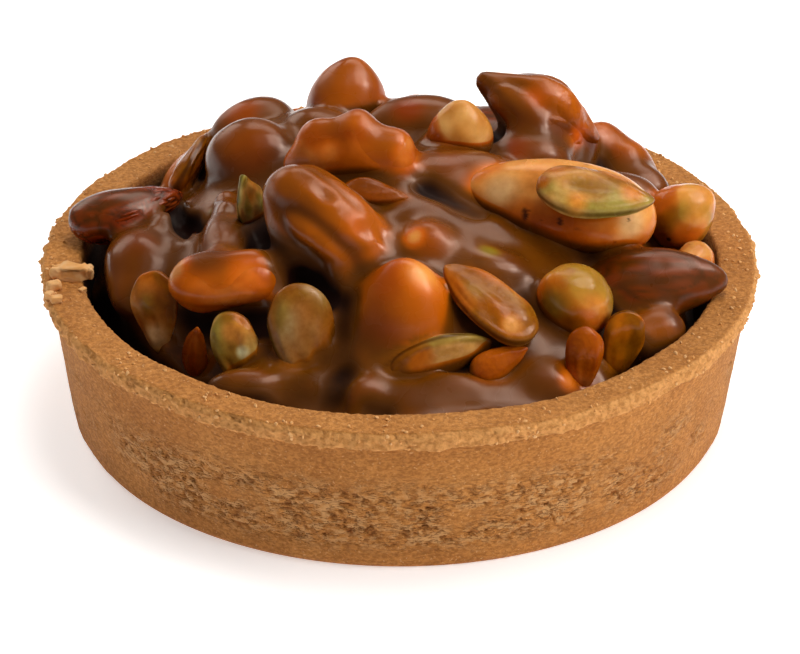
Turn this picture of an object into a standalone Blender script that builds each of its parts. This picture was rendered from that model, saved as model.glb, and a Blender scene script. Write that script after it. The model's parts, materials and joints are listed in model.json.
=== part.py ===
"""Caramel nut tart: a short pastry shell, filled with caramel and heaped with nuts and seeds.

The shell is a turned wall and floor with a crumbly rim. The caramel fills it and rises over the
rim as a mound, with the nuts that it covers whole as lumps of its own. Every nut and seed that
shows is a separate solid, seated in a socket of the caramel. Sizes are in metres, and the origin
is the middle of the base.
"""

import math

import bmesh
import bpy
import numpy as np
from mathutils import Matrix, Vector, noise

MM = 0.001

# The pastry shell
RIM_RADIUS = 42.5 * MM
BASE_RADIUS = 39.2 * MM
SHELL_HEIGHT = 19.3 * MM
WALL = 4.0 * MM
FLOOR = 3.2 * MM
FLOOR_FILLET = 1.5 * MM
BASE_BEVEL = 0.8 * MM
LIP_OVERHANG = 0.7 * MM
LIP_DEPTH = 1.9 * MM
RIM_ROUND = 0.6 * MM
SHELL_STEPS = 84
WALL_BANDS = 4

# How far the rim waves, and how deep its crumbly lip and the crags of its wall go
RIM_WAVE = 0.30 * MM
LIP_CRUMB = 0.28 * MM
WALL_CRAGS = 0.16 * MM
CRAG_SIZE = 3.2 * MM

# The caramel mound: its height at the wall and at the middle, and how full its shoulder is
MOUND_EDGE = 15.2 * MM
MOUND_TOP = 31.2 * MM
MOUND_SHOULDER = 1.7
MOUND_RINGS = 8
MOUND_STEPS = 38
MOUND_EDGE_GAP = 1.2 * MM
CARAMEL_WAVE = 0.7 * MM
CARAMEL_WAVE_SIZE = 9.0 * MM

# Where the caramel stays further off the wall: from which angle to which, in degrees, and by how much
# in millimetres. The mound gives way to such a gap over this distance.
WALL_GAPS = ((180, 258, 3.4), (312, 342, 2.4), (340, 376, 1.6), (98, 150, 2.2))
GAP_REACH = 11.0 * MM

# The gap that is kept between two pieces, and the gap cut into the caramel round a nut
CLEARANCE = 0.34 * MM
SOCKET_GAP = 0.36 * MM

# How nuts that crowd each other are moved apart: at most this often, and by these steps
SETTLE_ROUNDS = 400
LEAST_MOVE = 0.02 * MM
MOST_MOVE = 0.25 * MM


def inner_radius(height):
    """The radius of the shell's inner wall at a height above the base."""
    lean = (RIM_RADIUS - LIP_OVERHANG - BASE_RADIUS) / SHELL_HEIGHT
    return BASE_RADIUS + lean * height - WALL


def mound_height(radius):
    """The height of the bare caramel mound at a distance from the middle."""
    share = min(radius / inner_radius(MOUND_EDGE), 1.0)
    return MOUND_EDGE + (MOUND_TOP - MOUND_EDGE) * (1.0 - share**MOUND_SHOULDER)


def mound_normal(x, y):
    """The way that the mound's surface faces at a place."""
    radius = max(math.hypot(x, y), MM)
    step = 0.5 * MM
    slope = (mound_height(radius + step) - mound_height(radius - step)) / (2 * step)
    return Vector((-slope * x / radius, -slope * y / radius, 1.0)).normalized()


# The forms of nuts and seeds. Along a nut t runs from -1 at the blunt end to 1 at the point.
# A taper is the nut's share of its full width there, and a bend moves its middle line sideways.


def teardrop(t):
    return 0.957 - 0.287 * t


def plump_teardrop(t):
    return 0.98 - 0.13 * t


def slim_teardrop(t):
    return 0.935 - 0.355 * t


def round_nut(t):
    return 1.0 - 0.08 * t


def waisted(t):
    return 1.0 - 0.10 * math.cos(math.pi * t) - 0.06 * t


def even(t):
    return 1.0


def straight(t):
    return 0.0


def kidney(t):
    return 0.25 - 0.62 * t * t


class Kind:
    """A sort of nut or seed: its full size in millimetres, its form, its facets and its colour."""

    def __init__(self, size, taper, bend, tip, facets, colour, crinkle=0.0):
        self.half = Vector(size) * (MM / 2)
        self.taper = taper
        self.bend = bend
        self.tip = tip
        self.around, self.along = facets
        self.colour = colour
        self.crinkle = crinkle


KINDS = {
    "almond": Kind((21.0, 12.0, 8.2), teardrop, straight, 0.06, (10, 8), (0.30, 0.07, 0.02)),
    "blanched_almond": Kind((21.0, 11.0, 8.8), plump_teardrop, straight, 0.0, (12, 8), (0.62, 0.30, 0.09)),
    "short_almond": Kind((13.8, 8.2, 7.6), waisted, straight, 0.0, (10, 8), (0.60, 0.28, 0.08)),
    "hazelnut": Kind((12.4, 11.6, 11.0), round_nut, straight, 0.10, (10, 7), (0.58, 0.22, 0.04)),
    "cashew": Kind((18.5, 9.0, 8.0), even, kidney, 0.0, (10, 8), (0.55, 0.19, 0.03)),
    "peanut": Kind((11.5, 8.4, 7.6), waisted, straight, 0.03, (9, 7), (0.52, 0.20, 0.04)),
    "pumpkin_seed": Kind((13.6, 7.8, 3.2), teardrop, straight, 0.08, (10, 6), (0.40, 0.27, 0.07)),
    "sunflower_seed": Kind((8.6, 4.8, 3.0), slim_teardrop, straight, 0.10, (8, 5), (0.36, 0.15, 0.04)),
    "walnut": Kind((19.5, 11.4, 9.4), even, straight, 0.0, (14, 10), (0.32, 0.11, 0.03), 0.17),
}

# Every nut and seed that shows: name, kind, the place of its middle and the way its point lies,
# both in millimetres, its turn about its own length in degrees, and its size against its kind's.
FRONT_PIECES = (
    ("almond_left", "almond", (-32.8, 5.0, 22.2), (9, 5, 0.8), 12, 0.68),
    ("almond_right", "almond", (30.6, -12.0, 21.8), (10, 1.6, 0.2), 20, 0.74),
    ("almond_blanched", "blanched_almond", (19.8, -5.6, 26.0), (-10, 1.4, 1.4), -14, 1.10),
    ("almond_front_left", "short_almond", (-19.6, -16.6, 24.0), (-10, -0.6, -0.4), 0, 0.98),
    ("walnut_front", "walnut", (-6.8, -11.8, 28.9), (13, -9, -8), 0, 0.86),
    ("walnut_back_right", "walnut", (16.8, 15.4, 30.6), (8, -1, -4.6), 25, 0.74),
    ("cashew_middle", "cashew", (-5.2, 1.0, 31.4), (10, -1.5, -0.6), 70, 0.92),
    ("hazelnut_top", "hazelnut", (-4.6, 23.6, 26.6), (2, 3, 9), 0, 0.86),
    ("hazelnut_front", "hazelnut", (0.5, -21.6, 23.2), (0, 1, 10), 0, 0.90),
    ("hazelnut_pale", "hazelnut", (7.2, 8.8, 30.2), (1, 0, 9), 0, 0.70),
    ("hazelnut_right", "hazelnut", (34.0, 1.8, 22.2), (8, 1, 6), 0, 0.70),
    ("hazelnut_right_front", "hazelnut", (19.8, -18.8, 22.9), (-5, -3, 6), 0, 0.76),
    ("peanut_behind", "peanut", (2.4, -14.2, 25.6), (1, 2, 8), 0, 0.72),
    ("peanut_right", "peanut", (31.0, -18.2, 18.6), (8, 4, 1.5), 0, 0.70),
    ("peanut_low_right", "peanut", (34.4, -3.4, 20.2), (3, 8, 2), 0, 0.66),
    ("pumpkin_seed_top", "pumpkin_seed", (22.2, -8.8, 31.7), (10, -0.8, -1.2), 8, 0.97),
    ("pumpkin_seed_middle", "pumpkin_seed", (10.0, -22.2, 24.2), (-10.4, 7.5, 6), 8, 0.94),
    ("pumpkin_seed_pale", "pumpkin_seed", (-10.6, -24.4, 21.0), (2, -4.5, -8.5), -20, 0.96),
    ("pumpkin_seed_green", "pumpkin_seed", (-18.4, -23.8, 19.2), (2, -4, -9), -6, 0.66),
    ("pumpkin_seed_left", "pumpkin_seed", (-27.8, -15.8, 20.2), (1, -3.5, -9), -25, 0.68),
    ("pumpkin_seed_edge", "pumpkin_seed", (3.9, -26.4, 19.4), (12, 3.4, 4.4), 62, 0.94),
    ("pumpkin_seed_dark", "pumpkin_seed", (25.4, -21.4, 19.0), (-2, -1, -8), 15, 0.62),
    ("pumpkin_seed_back_left", "pumpkin_seed", (-25.6, 16.6, 22.6), (3.5, 9, 3), -30, 0.80),
    ("pumpkin_seed_broken", "pumpkin_seed", (-17.4, -4.8, 28.6), (-1.5, -2, 9), -20, 0.52),
    ("sunflower_seed_middle", "sunflower_seed", (-3.6, -7.9, 30.4), (10, -1.5, -0.5), 0, 0.86),
    ("sunflower_seed_left", "sunflower_seed", (-23.2, -20.8, 17.4), (1, -2, 9), 10, 0.84),
    ("sunflower_seed_front", "sunflower_seed", (10.8, -26.9, 20.2), (8, 3, 3), 20, 0.80),
    ("sunflower_seed_right", "sunflower_seed", (20.6, -26.2, 19.4), (-1, -2, -9), 30, 0.90),
)

# The far side follows the same mix, a little looser towards the wall.
BACK_PIECES = (
    ("almond_back", "almond", (11.4, 27.0, 22.4), (9, 3.5, -1), 15, 0.90),
    ("almond_back_left", "blanched_almond", (-21.6, 26.4, 19.4), (7, 5, 1), -20, 0.84),
    ("walnut_back_left", "walnut", (-9.4, 30.8, 19.4), (8, -3, -2), -10, 0.70),
    ("cashew_back", "cashew", (24.8, 21.4, 21.4), (7, -6, -1), 170, 0.82),
    ("hazelnut_back", "hazelnut", (0.8, 31.4, 19.4), (2, 6, 6), 0, 0.82),
    ("pumpkin_seed_back", "pumpkin_seed", (2.6, 24.4, 25.4), (4, 9, -4), 5, 0.90),
    ("pumpkin_seed_back_right", "pumpkin_seed", (11.4, 33.4, 17.2), (9, -3, -2), 10, 0.82),
    ("pumpkin_seed_far_left", "pumpkin_seed", (-32.0, 14.6, 17.4), (4, 9, 0), -25, 0.74),
    ("peanut_back", "peanut", (21.8, 27.6, 17.6), (8, -6, 2), 0, 0.78),
    ("sunflower_seed_back", "sunflower_seed", (-5.4, 34.0, 17.4), (9, 2, -4), 0, 0.95),
)

# The nuts that the caramel covers whole: middle and half size in millimetres, turn in degrees.
COATED_NUTS = (
    ((-17.6, 10.6, 25.6), (6.4, 6.2, 6.2), 0),
    ((-17.8, 20.6, 24.6), (6.0, 5.2, 5.4), 20),
    ((-9.6, 15.2, 26.6), (6.6, 5.0, 4.6), -15),
    ((2.4, 16.4, 27.6), (8.0, 5.0, 4.6), 8),
    ((-30.4, -4.0, 19.4), (4.6, 6.6, 4.2), 14),
    ((-27.0, 1.6, 20.6), (4.2, 4.0, 3.4), 60),
    ((-20.4, -7.4, 24.8), (3.0, 7.0, 2.8), 0),
    ((-14.6, -27.2, 14.8), (5.2, 3.8, 3.2), 20),
    ((-3.2, -28.8, 14.4), (5.6, 3.8, 3.4), 0),
    ((9.0, -14.8, 24.6), (6.4, 4.6, 3.2), 0),
    ((15.6, -26.6, 16.2), (5.6, 4.4, 3.8), 0),
    ((10.0, 1.6, 27.2), (7.6, 5.0, 4.2), -30),
    ((15.8, 8.6, 26.4), (5.6, 5.0, 4.4), 0),
    ((17.4, 15.4, 24.6), (7.6, 6.4, 4.2), 0),
    ((28.4, 14.6, 20.4), (6.0, 4.4, 4.0), -40),
    ((25.8, 6.4, 22.8), (6.6, 4.4, 4.0), -10),
)
COATED_FACETS = (10, 7)


def clear_scene():
    for old in list(bpy.data.objects):
        bpy.data.objects.remove(old)


def new_collection(name):
    made = bpy.data.collections.new(name)
    bpy.context.scene.collection.children.link(made)
    return made


def new_object(name, mesh, collection):
    made = bpy.data.objects.new(name, mesh)
    collection.objects.link(made)
    return made


def new_mesh(name, shape):
    """Turns a finished bmesh into a mesh."""
    made = bpy.data.meshes.new(name)
    shape.to_mesh(made)
    shape.free()
    return made


def finish_material(name, colour, roughness):
    """A plain surface colour for a sub-part."""
    made = bpy.data.materials.new(name)
    made.use_nodes = True
    surface = made.node_tree.nodes["Principled BSDF"]
    surface.inputs["Base Color"].default_value = (*colour, 1.0)
    surface.inputs["Roughness"].default_value = roughness
    surface.inputs["Metallic"].default_value = 0.0
    return made


def apply_modifiers(obj):
    """Puts the modifiers' result into the object's own mesh, and clears them."""
    graph = bpy.context.evaluated_depsgraph_get()
    made = bpy.data.meshes.new_from_object(obj.evaluated_get(graph))
    obj.modifiers.clear()
    obj.data = made


def turned(name, profile, steps, collection):
    """A solid turned about Z from a profile of (radius, height) points that starts and ends on the axis."""
    mesh = bpy.data.meshes.new(name)
    points = [(radius, 0.0, height) for radius, height in profile]
    mesh.from_pydata(points, [(i, i + 1) for i in range(len(points) - 1)], [])
    obj = new_object(name, mesh, collection)
    screw = obj.modifiers.new("turn", "SCREW")
    screw.steps = steps
    screw.render_steps = steps
    screw.use_merge_vertices = True
    screw.merge_threshold = 0.00001
    apply_modifiers(obj)
    return obj


def shell_profile():
    """The shell's section, from the middle of its floor over the rim to the middle of its base."""
    lip_bottom = SHELL_HEIGHT - LIP_DEPTH
    under_lip = inner_radius(lip_bottom) + WALL
    rim_inner = inner_radius(SHELL_HEIGHT)
    points = [(0.0, FLOOR), (inner_radius(FLOOR) - FLOOR_FILLET, FLOOR)]
    points.append((inner_radius(FLOOR + FLOOR_FILLET), FLOOR + FLOOR_FILLET))
    points.append((rim_inner, SHELL_HEIGHT - RIM_ROUND))
    points.append((rim_inner + RIM_ROUND, SHELL_HEIGHT))
    points.append((RIM_RADIUS - 3 * RIM_ROUND, SHELL_HEIGHT - RIM_ROUND / 6))
    points.append((RIM_RADIUS - RIM_ROUND, SHELL_HEIGHT - RIM_ROUND))
    points.append((RIM_RADIUS, lip_bottom + RIM_ROUND))
    points.append((RIM_RADIUS - RIM_ROUND / 4, lip_bottom))
    points.append((under_lip, lip_bottom - RIM_ROUND / 3))
    wall_height = points[-1][1] - BASE_BEVEL
    for band in range(1, WALL_BANDS + 1):
        down = band / WALL_BANDS
        points.append((under_lip + (BASE_RADIUS - under_lip) * down, BASE_BEVEL + wall_height * (1.0 - down)))
    return points + [(BASE_RADIUS - BASE_BEVEL, 0.0), (0.0, 0.0)]


def add_shell_relief(mesh):
    """Makes the rim uneven and its lip crumbly, and gives the wall shallow crags."""
    lip_bottom = SHELL_HEIGHT - LIP_DEPTH
    for vertex in mesh.vertices:
        radius = math.hypot(vertex.co.x, vertex.co.y)
        height = vertex.co.z
        if radius < inner_radius(height) - RIM_ROUND / 2:
            continue
        around = Vector((vertex.co.x, vertex.co.y, 0.0)).normalized()
        on_outside = radius > inner_radius(height) + 0.6 * WALL
        if height > lip_bottom - RIM_ROUND:
            vertex.co.z += RIM_WAVE * noise.noise(around * 3.1)
            if on_outside:
                crumbs = noise.noise(around * 19.0 + Vector((0.0, 0.0, height / MM)))
                vertex.co += around * LIP_CRUMB * min(crumbs, 0.0)
                vertex.co.z += 0.5 * LIP_CRUMB * noise.noise(around * 26.0)
        elif on_outside and height > BASE_BEVEL + RIM_ROUND:
            vertex.co += around * WALL_CRAGS * noise.fractal(vertex.co / CRAG_SIZE, 1.0, 2.0, 3)


def make_shell(collection):
    shell = turned("pastry_shell", shell_profile(), SHELL_STEPS, collection)
    add_shell_relief(shell.data)
    shell.data.materials.append(finish_material("baked_pastry", (0.50, 0.25, 0.09), 0.85))
    return shell


def nut_mesh(kind, size, seed, swell=0.0):
    """A nut or seed of its kind, its point at +X and its broad side up, swollen by swell all round."""
    shape = bmesh.new()
    lay_along_x = Matrix.Rotation(math.pi / 2, 4, "Y")
    bmesh.ops.create_uvsphere(
        shape, u_segments=kind.around, v_segments=kind.along, radius=1.0, matrix=lay_along_x
    )
    half = kind.half * size
    own_crinkles = Vector((seed * 7.3, seed * 3.1, 0.0))
    for vertex in shape.verts:
        t, y, z = vertex.co
        crinkles = 1.0 + 1.6 * kind.crinkle * noise.noise(vertex.co * 2.1 + own_crinkles)
        groove = 1.0 - 1.5 * kind.crinkle * math.exp(-((y / 0.22) ** 2)) * max(z, 0.0)
        width = kind.taper(t) * crinkles
        vertex.co.x = half.x * t * crinkles * (1.0 + kind.tip * max(t, 0.0) ** 6)
        vertex.co.y = half.y * (y * width + kind.bend(t))
        vertex.co.z = half.z * z * width * groove
    bmesh.ops.recalc_face_normals(shape, faces=shape.faces)
    shape.normal_update()
    moves = [vertex.normal * swell for vertex in shape.verts]
    for vertex, move in zip(shape.verts, moves):
        vertex.co += move
    bmesh.ops.triangulate(shape, faces=shape.faces)
    return new_mesh("nut", shape)


class Piece:
    """One nut or seed in its place on the mound."""

    def __init__(self, number, name, kind_name, middle, point, turn, size):
        self.name = name
        self.kind_name = kind_name
        self.kind = KINDS[kind_name]
        self.number = number
        self.size = size
        self.half = self.kind.half * size
        self.middle = Vector(middle) * MM
        self.rotation = self.lie(Vector(point).normalized(), math.radians(turn))
        mesh = self.mesh()
        self.surface = np.array([vertex.co for vertex in mesh.vertices])
        bpy.data.meshes.remove(mesh)

    def mesh(self, swell=0.0):
        return nut_mesh(self.kind, self.size, self.number, swell)

    def lie(self, point, turn):
        """The rotation that lays the nut along its point, its broad side on the mound, then turns it."""
        side = mound_normal(self.middle.x, self.middle.y).cross(point).normalized()
        upright = Matrix((point, side, point.cross(side))).transposed()
        return upright @ Matrix.Rotation(turn, 3, "X")

    def matrix(self):
        return Matrix.Translation(self.middle) @ self.rotation.to_4x4()

    def points(self):
        """The surface points in the tart's frame."""
        return self.surface @ np.array(self.rotation).T + np.array(self.middle)

    def depth_of(self, points):
        """How far each point is inside this nut, as a share of its half size, and below 0 outside."""
        local = (points - np.array(self.middle)) @ np.array(self.rotation)
        t = np.clip(local[:, 0] / (self.half.x + CLEARANCE), -1.2, 1.2)
        taper = np.array([self.kind.taper(value) for value in t])
        bend = np.array([self.kind.bend(value) for value in t]) * self.half.y
        y = (local[:, 1] - bend) / (self.half.y * taper + CLEARANCE)
        z = local[:, 2] / (self.half.z * taper + CLEARANCE)
        return 1.0 - np.sqrt(t * t + y * y + z * z)


def push_apart(first, second):
    """Moves two nuts that crowd each other a little apart. It returns how deep they crowd."""
    if (first.middle - second.middle).length > first.half.length + second.half.length:
        return 0.0
    points = first.points()
    depths = second.depth_of(points)
    worst = int(np.argmax(depths))
    if depths[worst] <= 0.0:
        return 0.0
    local = second.rotation.transposed() @ (Vector(points[worst]) - second.middle)
    steepest = Vector(local[i] / second.half[i] ** 2 for i in range(3))
    away = (second.rotation @ steepest).normalized()
    move = away * min(max(depths[worst] * second.half.z, LEAST_MOVE), MOST_MOVE)
    first.middle += move / 2
    second.middle -= move / 2
    return float(depths[worst])


def keep_off_shell(piece):
    """Moves a nut that crowds the shell's wall a little inwards."""
    points = piece.points()
    radii = np.hypot(points[:, 0], points[:, 1])
    below_rim = points[:, 2] < SHELL_HEIGHT + RIM_WAVE + CLEARANCE
    crowding = np.where(below_rim, radii - inner_radius(points[:, 2]) + CLEARANCE, 0.0).max()
    if crowding > 0.0:
        inwards = Vector((-piece.middle.x, -piece.middle.y, 0.0)).normalized()
        piece.middle += inwards * min(crowding, MOST_MOVE)


def settle(pieces):
    """Lets crowded nuts find room, as they do in warm caramel, until none meets another or the shell."""
    for _ in range(SETTLE_ROUNDS):
        crowding = 0.0
        for i, first in enumerate(pieces):
            for second in pieces[i + 1 :]:
                crowding = max(crowding, push_apart(first, second), push_apart(second, first))
            keep_off_shell(first)
        if crowding == 0.0:
            break


def mound_profile():
    """The caramel's section, from its top over its edge and down the wall to the floor."""
    edge = inner_radius(MOUND_EDGE) - MOUND_EDGE_GAP
    floor = FLOOR + CLEARANCE
    bottom = floor + FLOOR_FILLET
    rings = [edge * ring / MOUND_RINGS for ring in range(MOUND_RINGS + 1)]
    points = [(radius, mound_height(radius)) for radius in rings]
    points.append((edge + CLEARANCE, MOUND_EDGE - MOUND_EDGE_GAP))
    points.append((inner_radius(bottom) - 1.5 * CLEARANCE, bottom))
    points.append((inner_radius(floor) - 1.5 * FLOOR_FILLET, floor))
    return points + [(0.0, floor)]


def wall_gap(x, y):
    """How much further than elsewhere the caramel stays off the wall in a direction."""
    angle = math.degrees(math.atan2(y, x)) % 360
    widest = 0.0
    for start, end, width in WALL_GAPS:
        share = (angle - start) % 360 / (end - start)
        if share < 1.0:
            widest = max(widest, width * MM * math.sqrt(math.sin(math.pi * share)))
    return widest


def add_caramel_relief(mesh):
    """Gives the mound the soft waves of poured caramel, and draws its edge in from the wall at the gaps."""
    edge = inner_radius(MOUND_EDGE) - MOUND_EDGE_GAP
    for vertex in mesh.vertices:
        if vertex.co.z > MOUND_EDGE - MOUND_EDGE_GAP / 2:
            vertex.co.z += CARAMEL_WAVE * noise.fractal(vertex.co / CARAMEL_WAVE_SIZE, 1.0, 2.0, 2)
        radius = math.hypot(vertex.co.x, vertex.co.y)
        share = (radius - edge + GAP_REACH) / GAP_REACH
        if share > 0.0 and vertex.co.z > MOUND_EDGE / 2:
            drawn_in = 1.0 - share * wall_gap(vertex.co.x, vertex.co.y) / radius
            vertex.co.x *= drawn_in
            vertex.co.y *= drawn_in


def coated_nut_mesh(middle, half, turn):
    """A nut covered whole by caramel: a smooth rounded lump."""
    shape = bmesh.new()
    around, along = COATED_FACETS
    bmesh.ops.create_uvsphere(shape, u_segments=around, v_segments=along, radius=1.0)
    place = Matrix.Translation(Vector(middle) * MM)
    spin = Matrix.Rotation(math.radians(turn), 4, "Z")
    scale = Matrix.Diagonal((*(Vector(half) * MM), 1.0))
    bmesh.ops.transform(shape, matrix=place @ spin @ scale, verts=shape.verts)
    return new_mesh("coated_nut", shape)


def combine(obj, helpers, operation):
    """Joins the helpers to the object, or cuts them from it, and removes them."""
    modifier = obj.modifiers.new("combine", "BOOLEAN")
    modifier.operation = operation
    modifier.operand_type = "COLLECTION"
    modifier.collection = helpers
    apply_modifiers(obj)
    for helper in list(helpers.objects):
        bpy.data.objects.remove(helper)
    bpy.data.collections.remove(helpers)


def keep_largest_body(mesh):
    """Drops the loose scraps that the sockets cut off."""
    shape = bmesh.new()
    shape.from_mesh(mesh)
    left = set(shape.verts)
    bodies = []
    while left:
        body = {left.pop()}
        front = set(body)
        while front:
            front = {edge.other_vert(vertex) for vertex in front for edge in vertex.link_edges} & left
            left -= front
            body |= front
        bodies.append(body)
    bodies.sort(key=len)
    for scrap in bodies[:-1]:
        bmesh.ops.delete(shape, geom=list(scrap), context="VERTS")
    bmesh.ops.triangulate(shape, faces=shape.faces)
    shape.to_mesh(mesh)
    shape.free()


def make_caramel(collection, pieces):
    """The mound, with the nuts that it covers joined on and a socket cut for each nut that shows."""
    caramel = turned("caramel", mound_profile(), MOUND_STEPS, collection)
    add_caramel_relief(caramel.data)
    coated = new_collection("coated_nuts")
    for number, row in enumerate(COATED_NUTS):
        new_object(f"coated_{number}", coated_nut_mesh(*row), coated)
    combine(caramel, coated, "UNION")
    sockets = new_collection("sockets")
    for piece in pieces:
        socket = new_object(f"socket_{piece.number}", piece.mesh(SOCKET_GAP), sockets)
        socket.matrix_world = piece.matrix()
    combine(caramel, sockets, "DIFFERENCE")
    keep_largest_body(caramel.data)
    caramel.data.materials.clear()
    caramel.data.materials.append(finish_material("soft_caramel", (0.19, 0.055, 0.014), 0.25))
    return caramel


def make_nuts(collection, pieces):
    """The nuts and seeds, each its own object, where they settled."""
    surfaces = {name: finish_material(f"{name}_surface", kind.colour, 0.35) for name, kind in KINDS.items()}
    for piece in pieces:
        nut = new_object(piece.name, piece.mesh(), collection)
        nut.matrix_world = piece.matrix()
        nut.data.materials.append(surfaces[piece.kind_name])


def main():
    clear_scene()
    tart = new_collection("caramel_nut_tart")
    pieces = [Piece(number, *row) for number, row in enumerate(FRONT_PIECES + BACK_PIECES)]
    settle(pieces)
    make_shell(tart)
    make_caramel(tart, pieces)
    make_nuts(tart, pieces)


main()
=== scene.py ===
"""Looks of a caramel nut tart: a baked shortcrust shell, glazed nuts and seeds, poured caramel, crumbs.

Every nut is made where its solid lies in the frame. The caramel is one surface, worked out on a box of
voxels from the solid mound and a film over each nut, so it climbs the nuts as soft caramel does.
"""

import functools
import itertools
import json
import math
from types import SimpleNamespace

import bmesh
import bpy
import numpy as np
import openvdb as vdb
from bpy.props import FloatProperty, FloatVectorProperty, IntProperty, PointerProperty
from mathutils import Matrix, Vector


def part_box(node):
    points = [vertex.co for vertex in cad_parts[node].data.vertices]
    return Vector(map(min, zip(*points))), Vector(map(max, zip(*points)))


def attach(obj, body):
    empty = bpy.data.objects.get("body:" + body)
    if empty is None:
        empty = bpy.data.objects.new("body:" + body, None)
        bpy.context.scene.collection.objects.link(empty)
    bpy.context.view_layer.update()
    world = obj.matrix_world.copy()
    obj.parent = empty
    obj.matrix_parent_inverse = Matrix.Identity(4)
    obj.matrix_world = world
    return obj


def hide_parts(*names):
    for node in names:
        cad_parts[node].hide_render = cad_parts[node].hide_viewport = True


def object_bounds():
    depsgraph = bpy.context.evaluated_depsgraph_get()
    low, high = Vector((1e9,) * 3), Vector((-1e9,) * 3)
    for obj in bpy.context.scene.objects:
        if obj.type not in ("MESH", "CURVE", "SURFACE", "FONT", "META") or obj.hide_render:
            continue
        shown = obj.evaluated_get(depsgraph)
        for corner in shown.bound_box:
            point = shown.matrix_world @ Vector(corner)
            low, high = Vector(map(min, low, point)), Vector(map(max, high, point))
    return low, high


bl_info = {
    "name": "Caramel Nut Tart",
    "version": (1, 0, 0),
    "blender": (4, 5, 0),
    "location": "3D View > Sidebar > Nut Tart",
    "description": "Dresses a nut tart: baked shell, glazed nuts and seeds, poured caramel and crumbs",
    "category": "Object",
}

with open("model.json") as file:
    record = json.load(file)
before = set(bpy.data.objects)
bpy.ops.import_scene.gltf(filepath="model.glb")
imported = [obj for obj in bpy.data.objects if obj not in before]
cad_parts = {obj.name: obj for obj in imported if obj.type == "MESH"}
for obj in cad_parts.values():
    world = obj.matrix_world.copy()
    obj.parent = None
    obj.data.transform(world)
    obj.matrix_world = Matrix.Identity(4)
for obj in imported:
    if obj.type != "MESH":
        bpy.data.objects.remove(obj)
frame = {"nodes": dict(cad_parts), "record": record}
CAD_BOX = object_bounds()
SHELL_LOW, SHELL_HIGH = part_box("pastry_shell")

MM = 0.001

# The pastry shell, as its solid has it
RIM_RADIUS = SHELL_HIGH.x
RIM_HEIGHT = 19.3 * MM
BASE_RADIUS = 39.2 * MM
WALL = 4.0 * MM
FLOOR = 3.2 * MM
LIP_OVERHANG = 0.7 * MM
LIP_DEPTH = 1.9 * MM
WALL_LEAN = (RIM_RADIUS - LIP_OVERHANG - BASE_RADIUS) / RIM_HEIGHT


def linear(hex_colour):
    """An sRGB hex colour as linear red, green and blue."""
    channels = [int(hex_colour[i : i + 2], 16) / 255 for i in (0, 2, 4)]
    return tuple(c / 12.92 if c <= 0.04045 else ((c + 0.055) / 1.055) ** 2.4 for c in channels)


def colour(name, description, hex_colour):
    default = linear(hex_colour)
    return FloatVectorProperty(
        name=name, description=description, subtype="COLOR", size=3, min=0.0, max=1.0, default=default
    )


def length(name, description, metres, most):
    return FloatProperty(
        name=name,
        description=description,
        default=metres,
        min=0.0,
        max=most,
        unit="LENGTH",
        subtype="DISTANCE",
    )


def number(name, description, default, **measure):
    return FloatProperty(name=name, description=description, default=default, min=0.0, **measure)


class PastryLook(bpy.types.PropertyGroup):
    """Sizes and colours of the baked shell."""

    golden: colour("Golden crust", "Colour of the evenly baked crust", "b4773b")
    toasted: colour("Toasted crust", "Colour where the crust is baked darker", "a2652c")
    crumb: colour("Open crumb", "Colour of the rough crumb on the lip", "da9c5a")
    # Painted shade: the dark colour in the pits and cracks
    pit: colour("Pit", "Colour deep in the pits and cracks", "8a4e1c")
    # Caramel stain and painted shade: the near-black colour down the inside of the wall
    soaked: colour("Soaked and shaded crust", "Colour of the inside, where the caramel has soaked in", "2c1408")
    rim_wave: length("Rim wave", "How far the rim rises and falls", 0.35 * MM, 2 * MM)
    lip_crumble: length("Lip crumble", "How rough the outer lip is", 0.50 * MM, 2 * MM)
    pit_depth: length("Pit depth", "Depth of the pits and cracks in the wall", 0.34 * MM, 2 * MM)


class CaramelLook(bpy.types.PropertyGroup):
    """Sizes and colours of the poured caramel."""

    body: colour("Caramel", "Colour of thick caramel", "643505")
    # Painted shade: the colour that the gaps and hollows darken to
    deep: colour("Painted gap shade", "Colour in the gaps, where no light comes back", "1a0703")
    amber: colour("Amber", "What a thin film of caramel lets through", "e48c1a")
    fillet: length("Fillet", "How far the caramel climbs a nut", 2.2 * MM, 5 * MM)
    voxel: length("Voxel", "Step of the box that the surface is worked out on", 0.46 * MM, 2 * MM)


class CrumbLook(bpy.types.PropertyGroup):
    """How many crumbs lie on the rim, and how large they are."""

    density: number("Density", "Crumbs on each square metre of rim", 450000)
    size: length("Crumb size", "Width of a middling crumb", 0.48 * MM, 2 * MM)
    seed: IntProperty(name="Seed", description="Which random scatter is drawn", default=7, min=0)


class StageLook(bpy.types.PropertyGroup):
    """The floor, the lights and the camera."""

    floor: colour("Floor", "Colour of the plain pale floor", "f7f3f0")
    sky: number("Sky", "Strength of the even light all round", 0.12)
    key: number("Key light", "Power of the right-hand softbox", 3.2, unit="POWER")
    top: number("Top light", "Power of the overhead softbox", 2.6, unit="POWER")
    back: number("Back light", "Power of the softbox behind", 2.4, unit="POWER")
    left: number("Left light", "Power of the left-hand softbox", 1.7, unit="POWER")
    sheen: number("Sheen", "Brightness of the broad panels that only show as sheen", 1.0)
    glow: number("Floor glow", "Light of the floor's own, as lit from below", 0.47)
    tilt: number(
        "Camera tilt", "Angle that the camera looks down", math.radians(28.95), subtype="ANGLE"
    )
    distance: length("Camera distance", "From the tart's middle to the camera", 0.4, 2.0)


# Building nodes, meshes and objects

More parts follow.
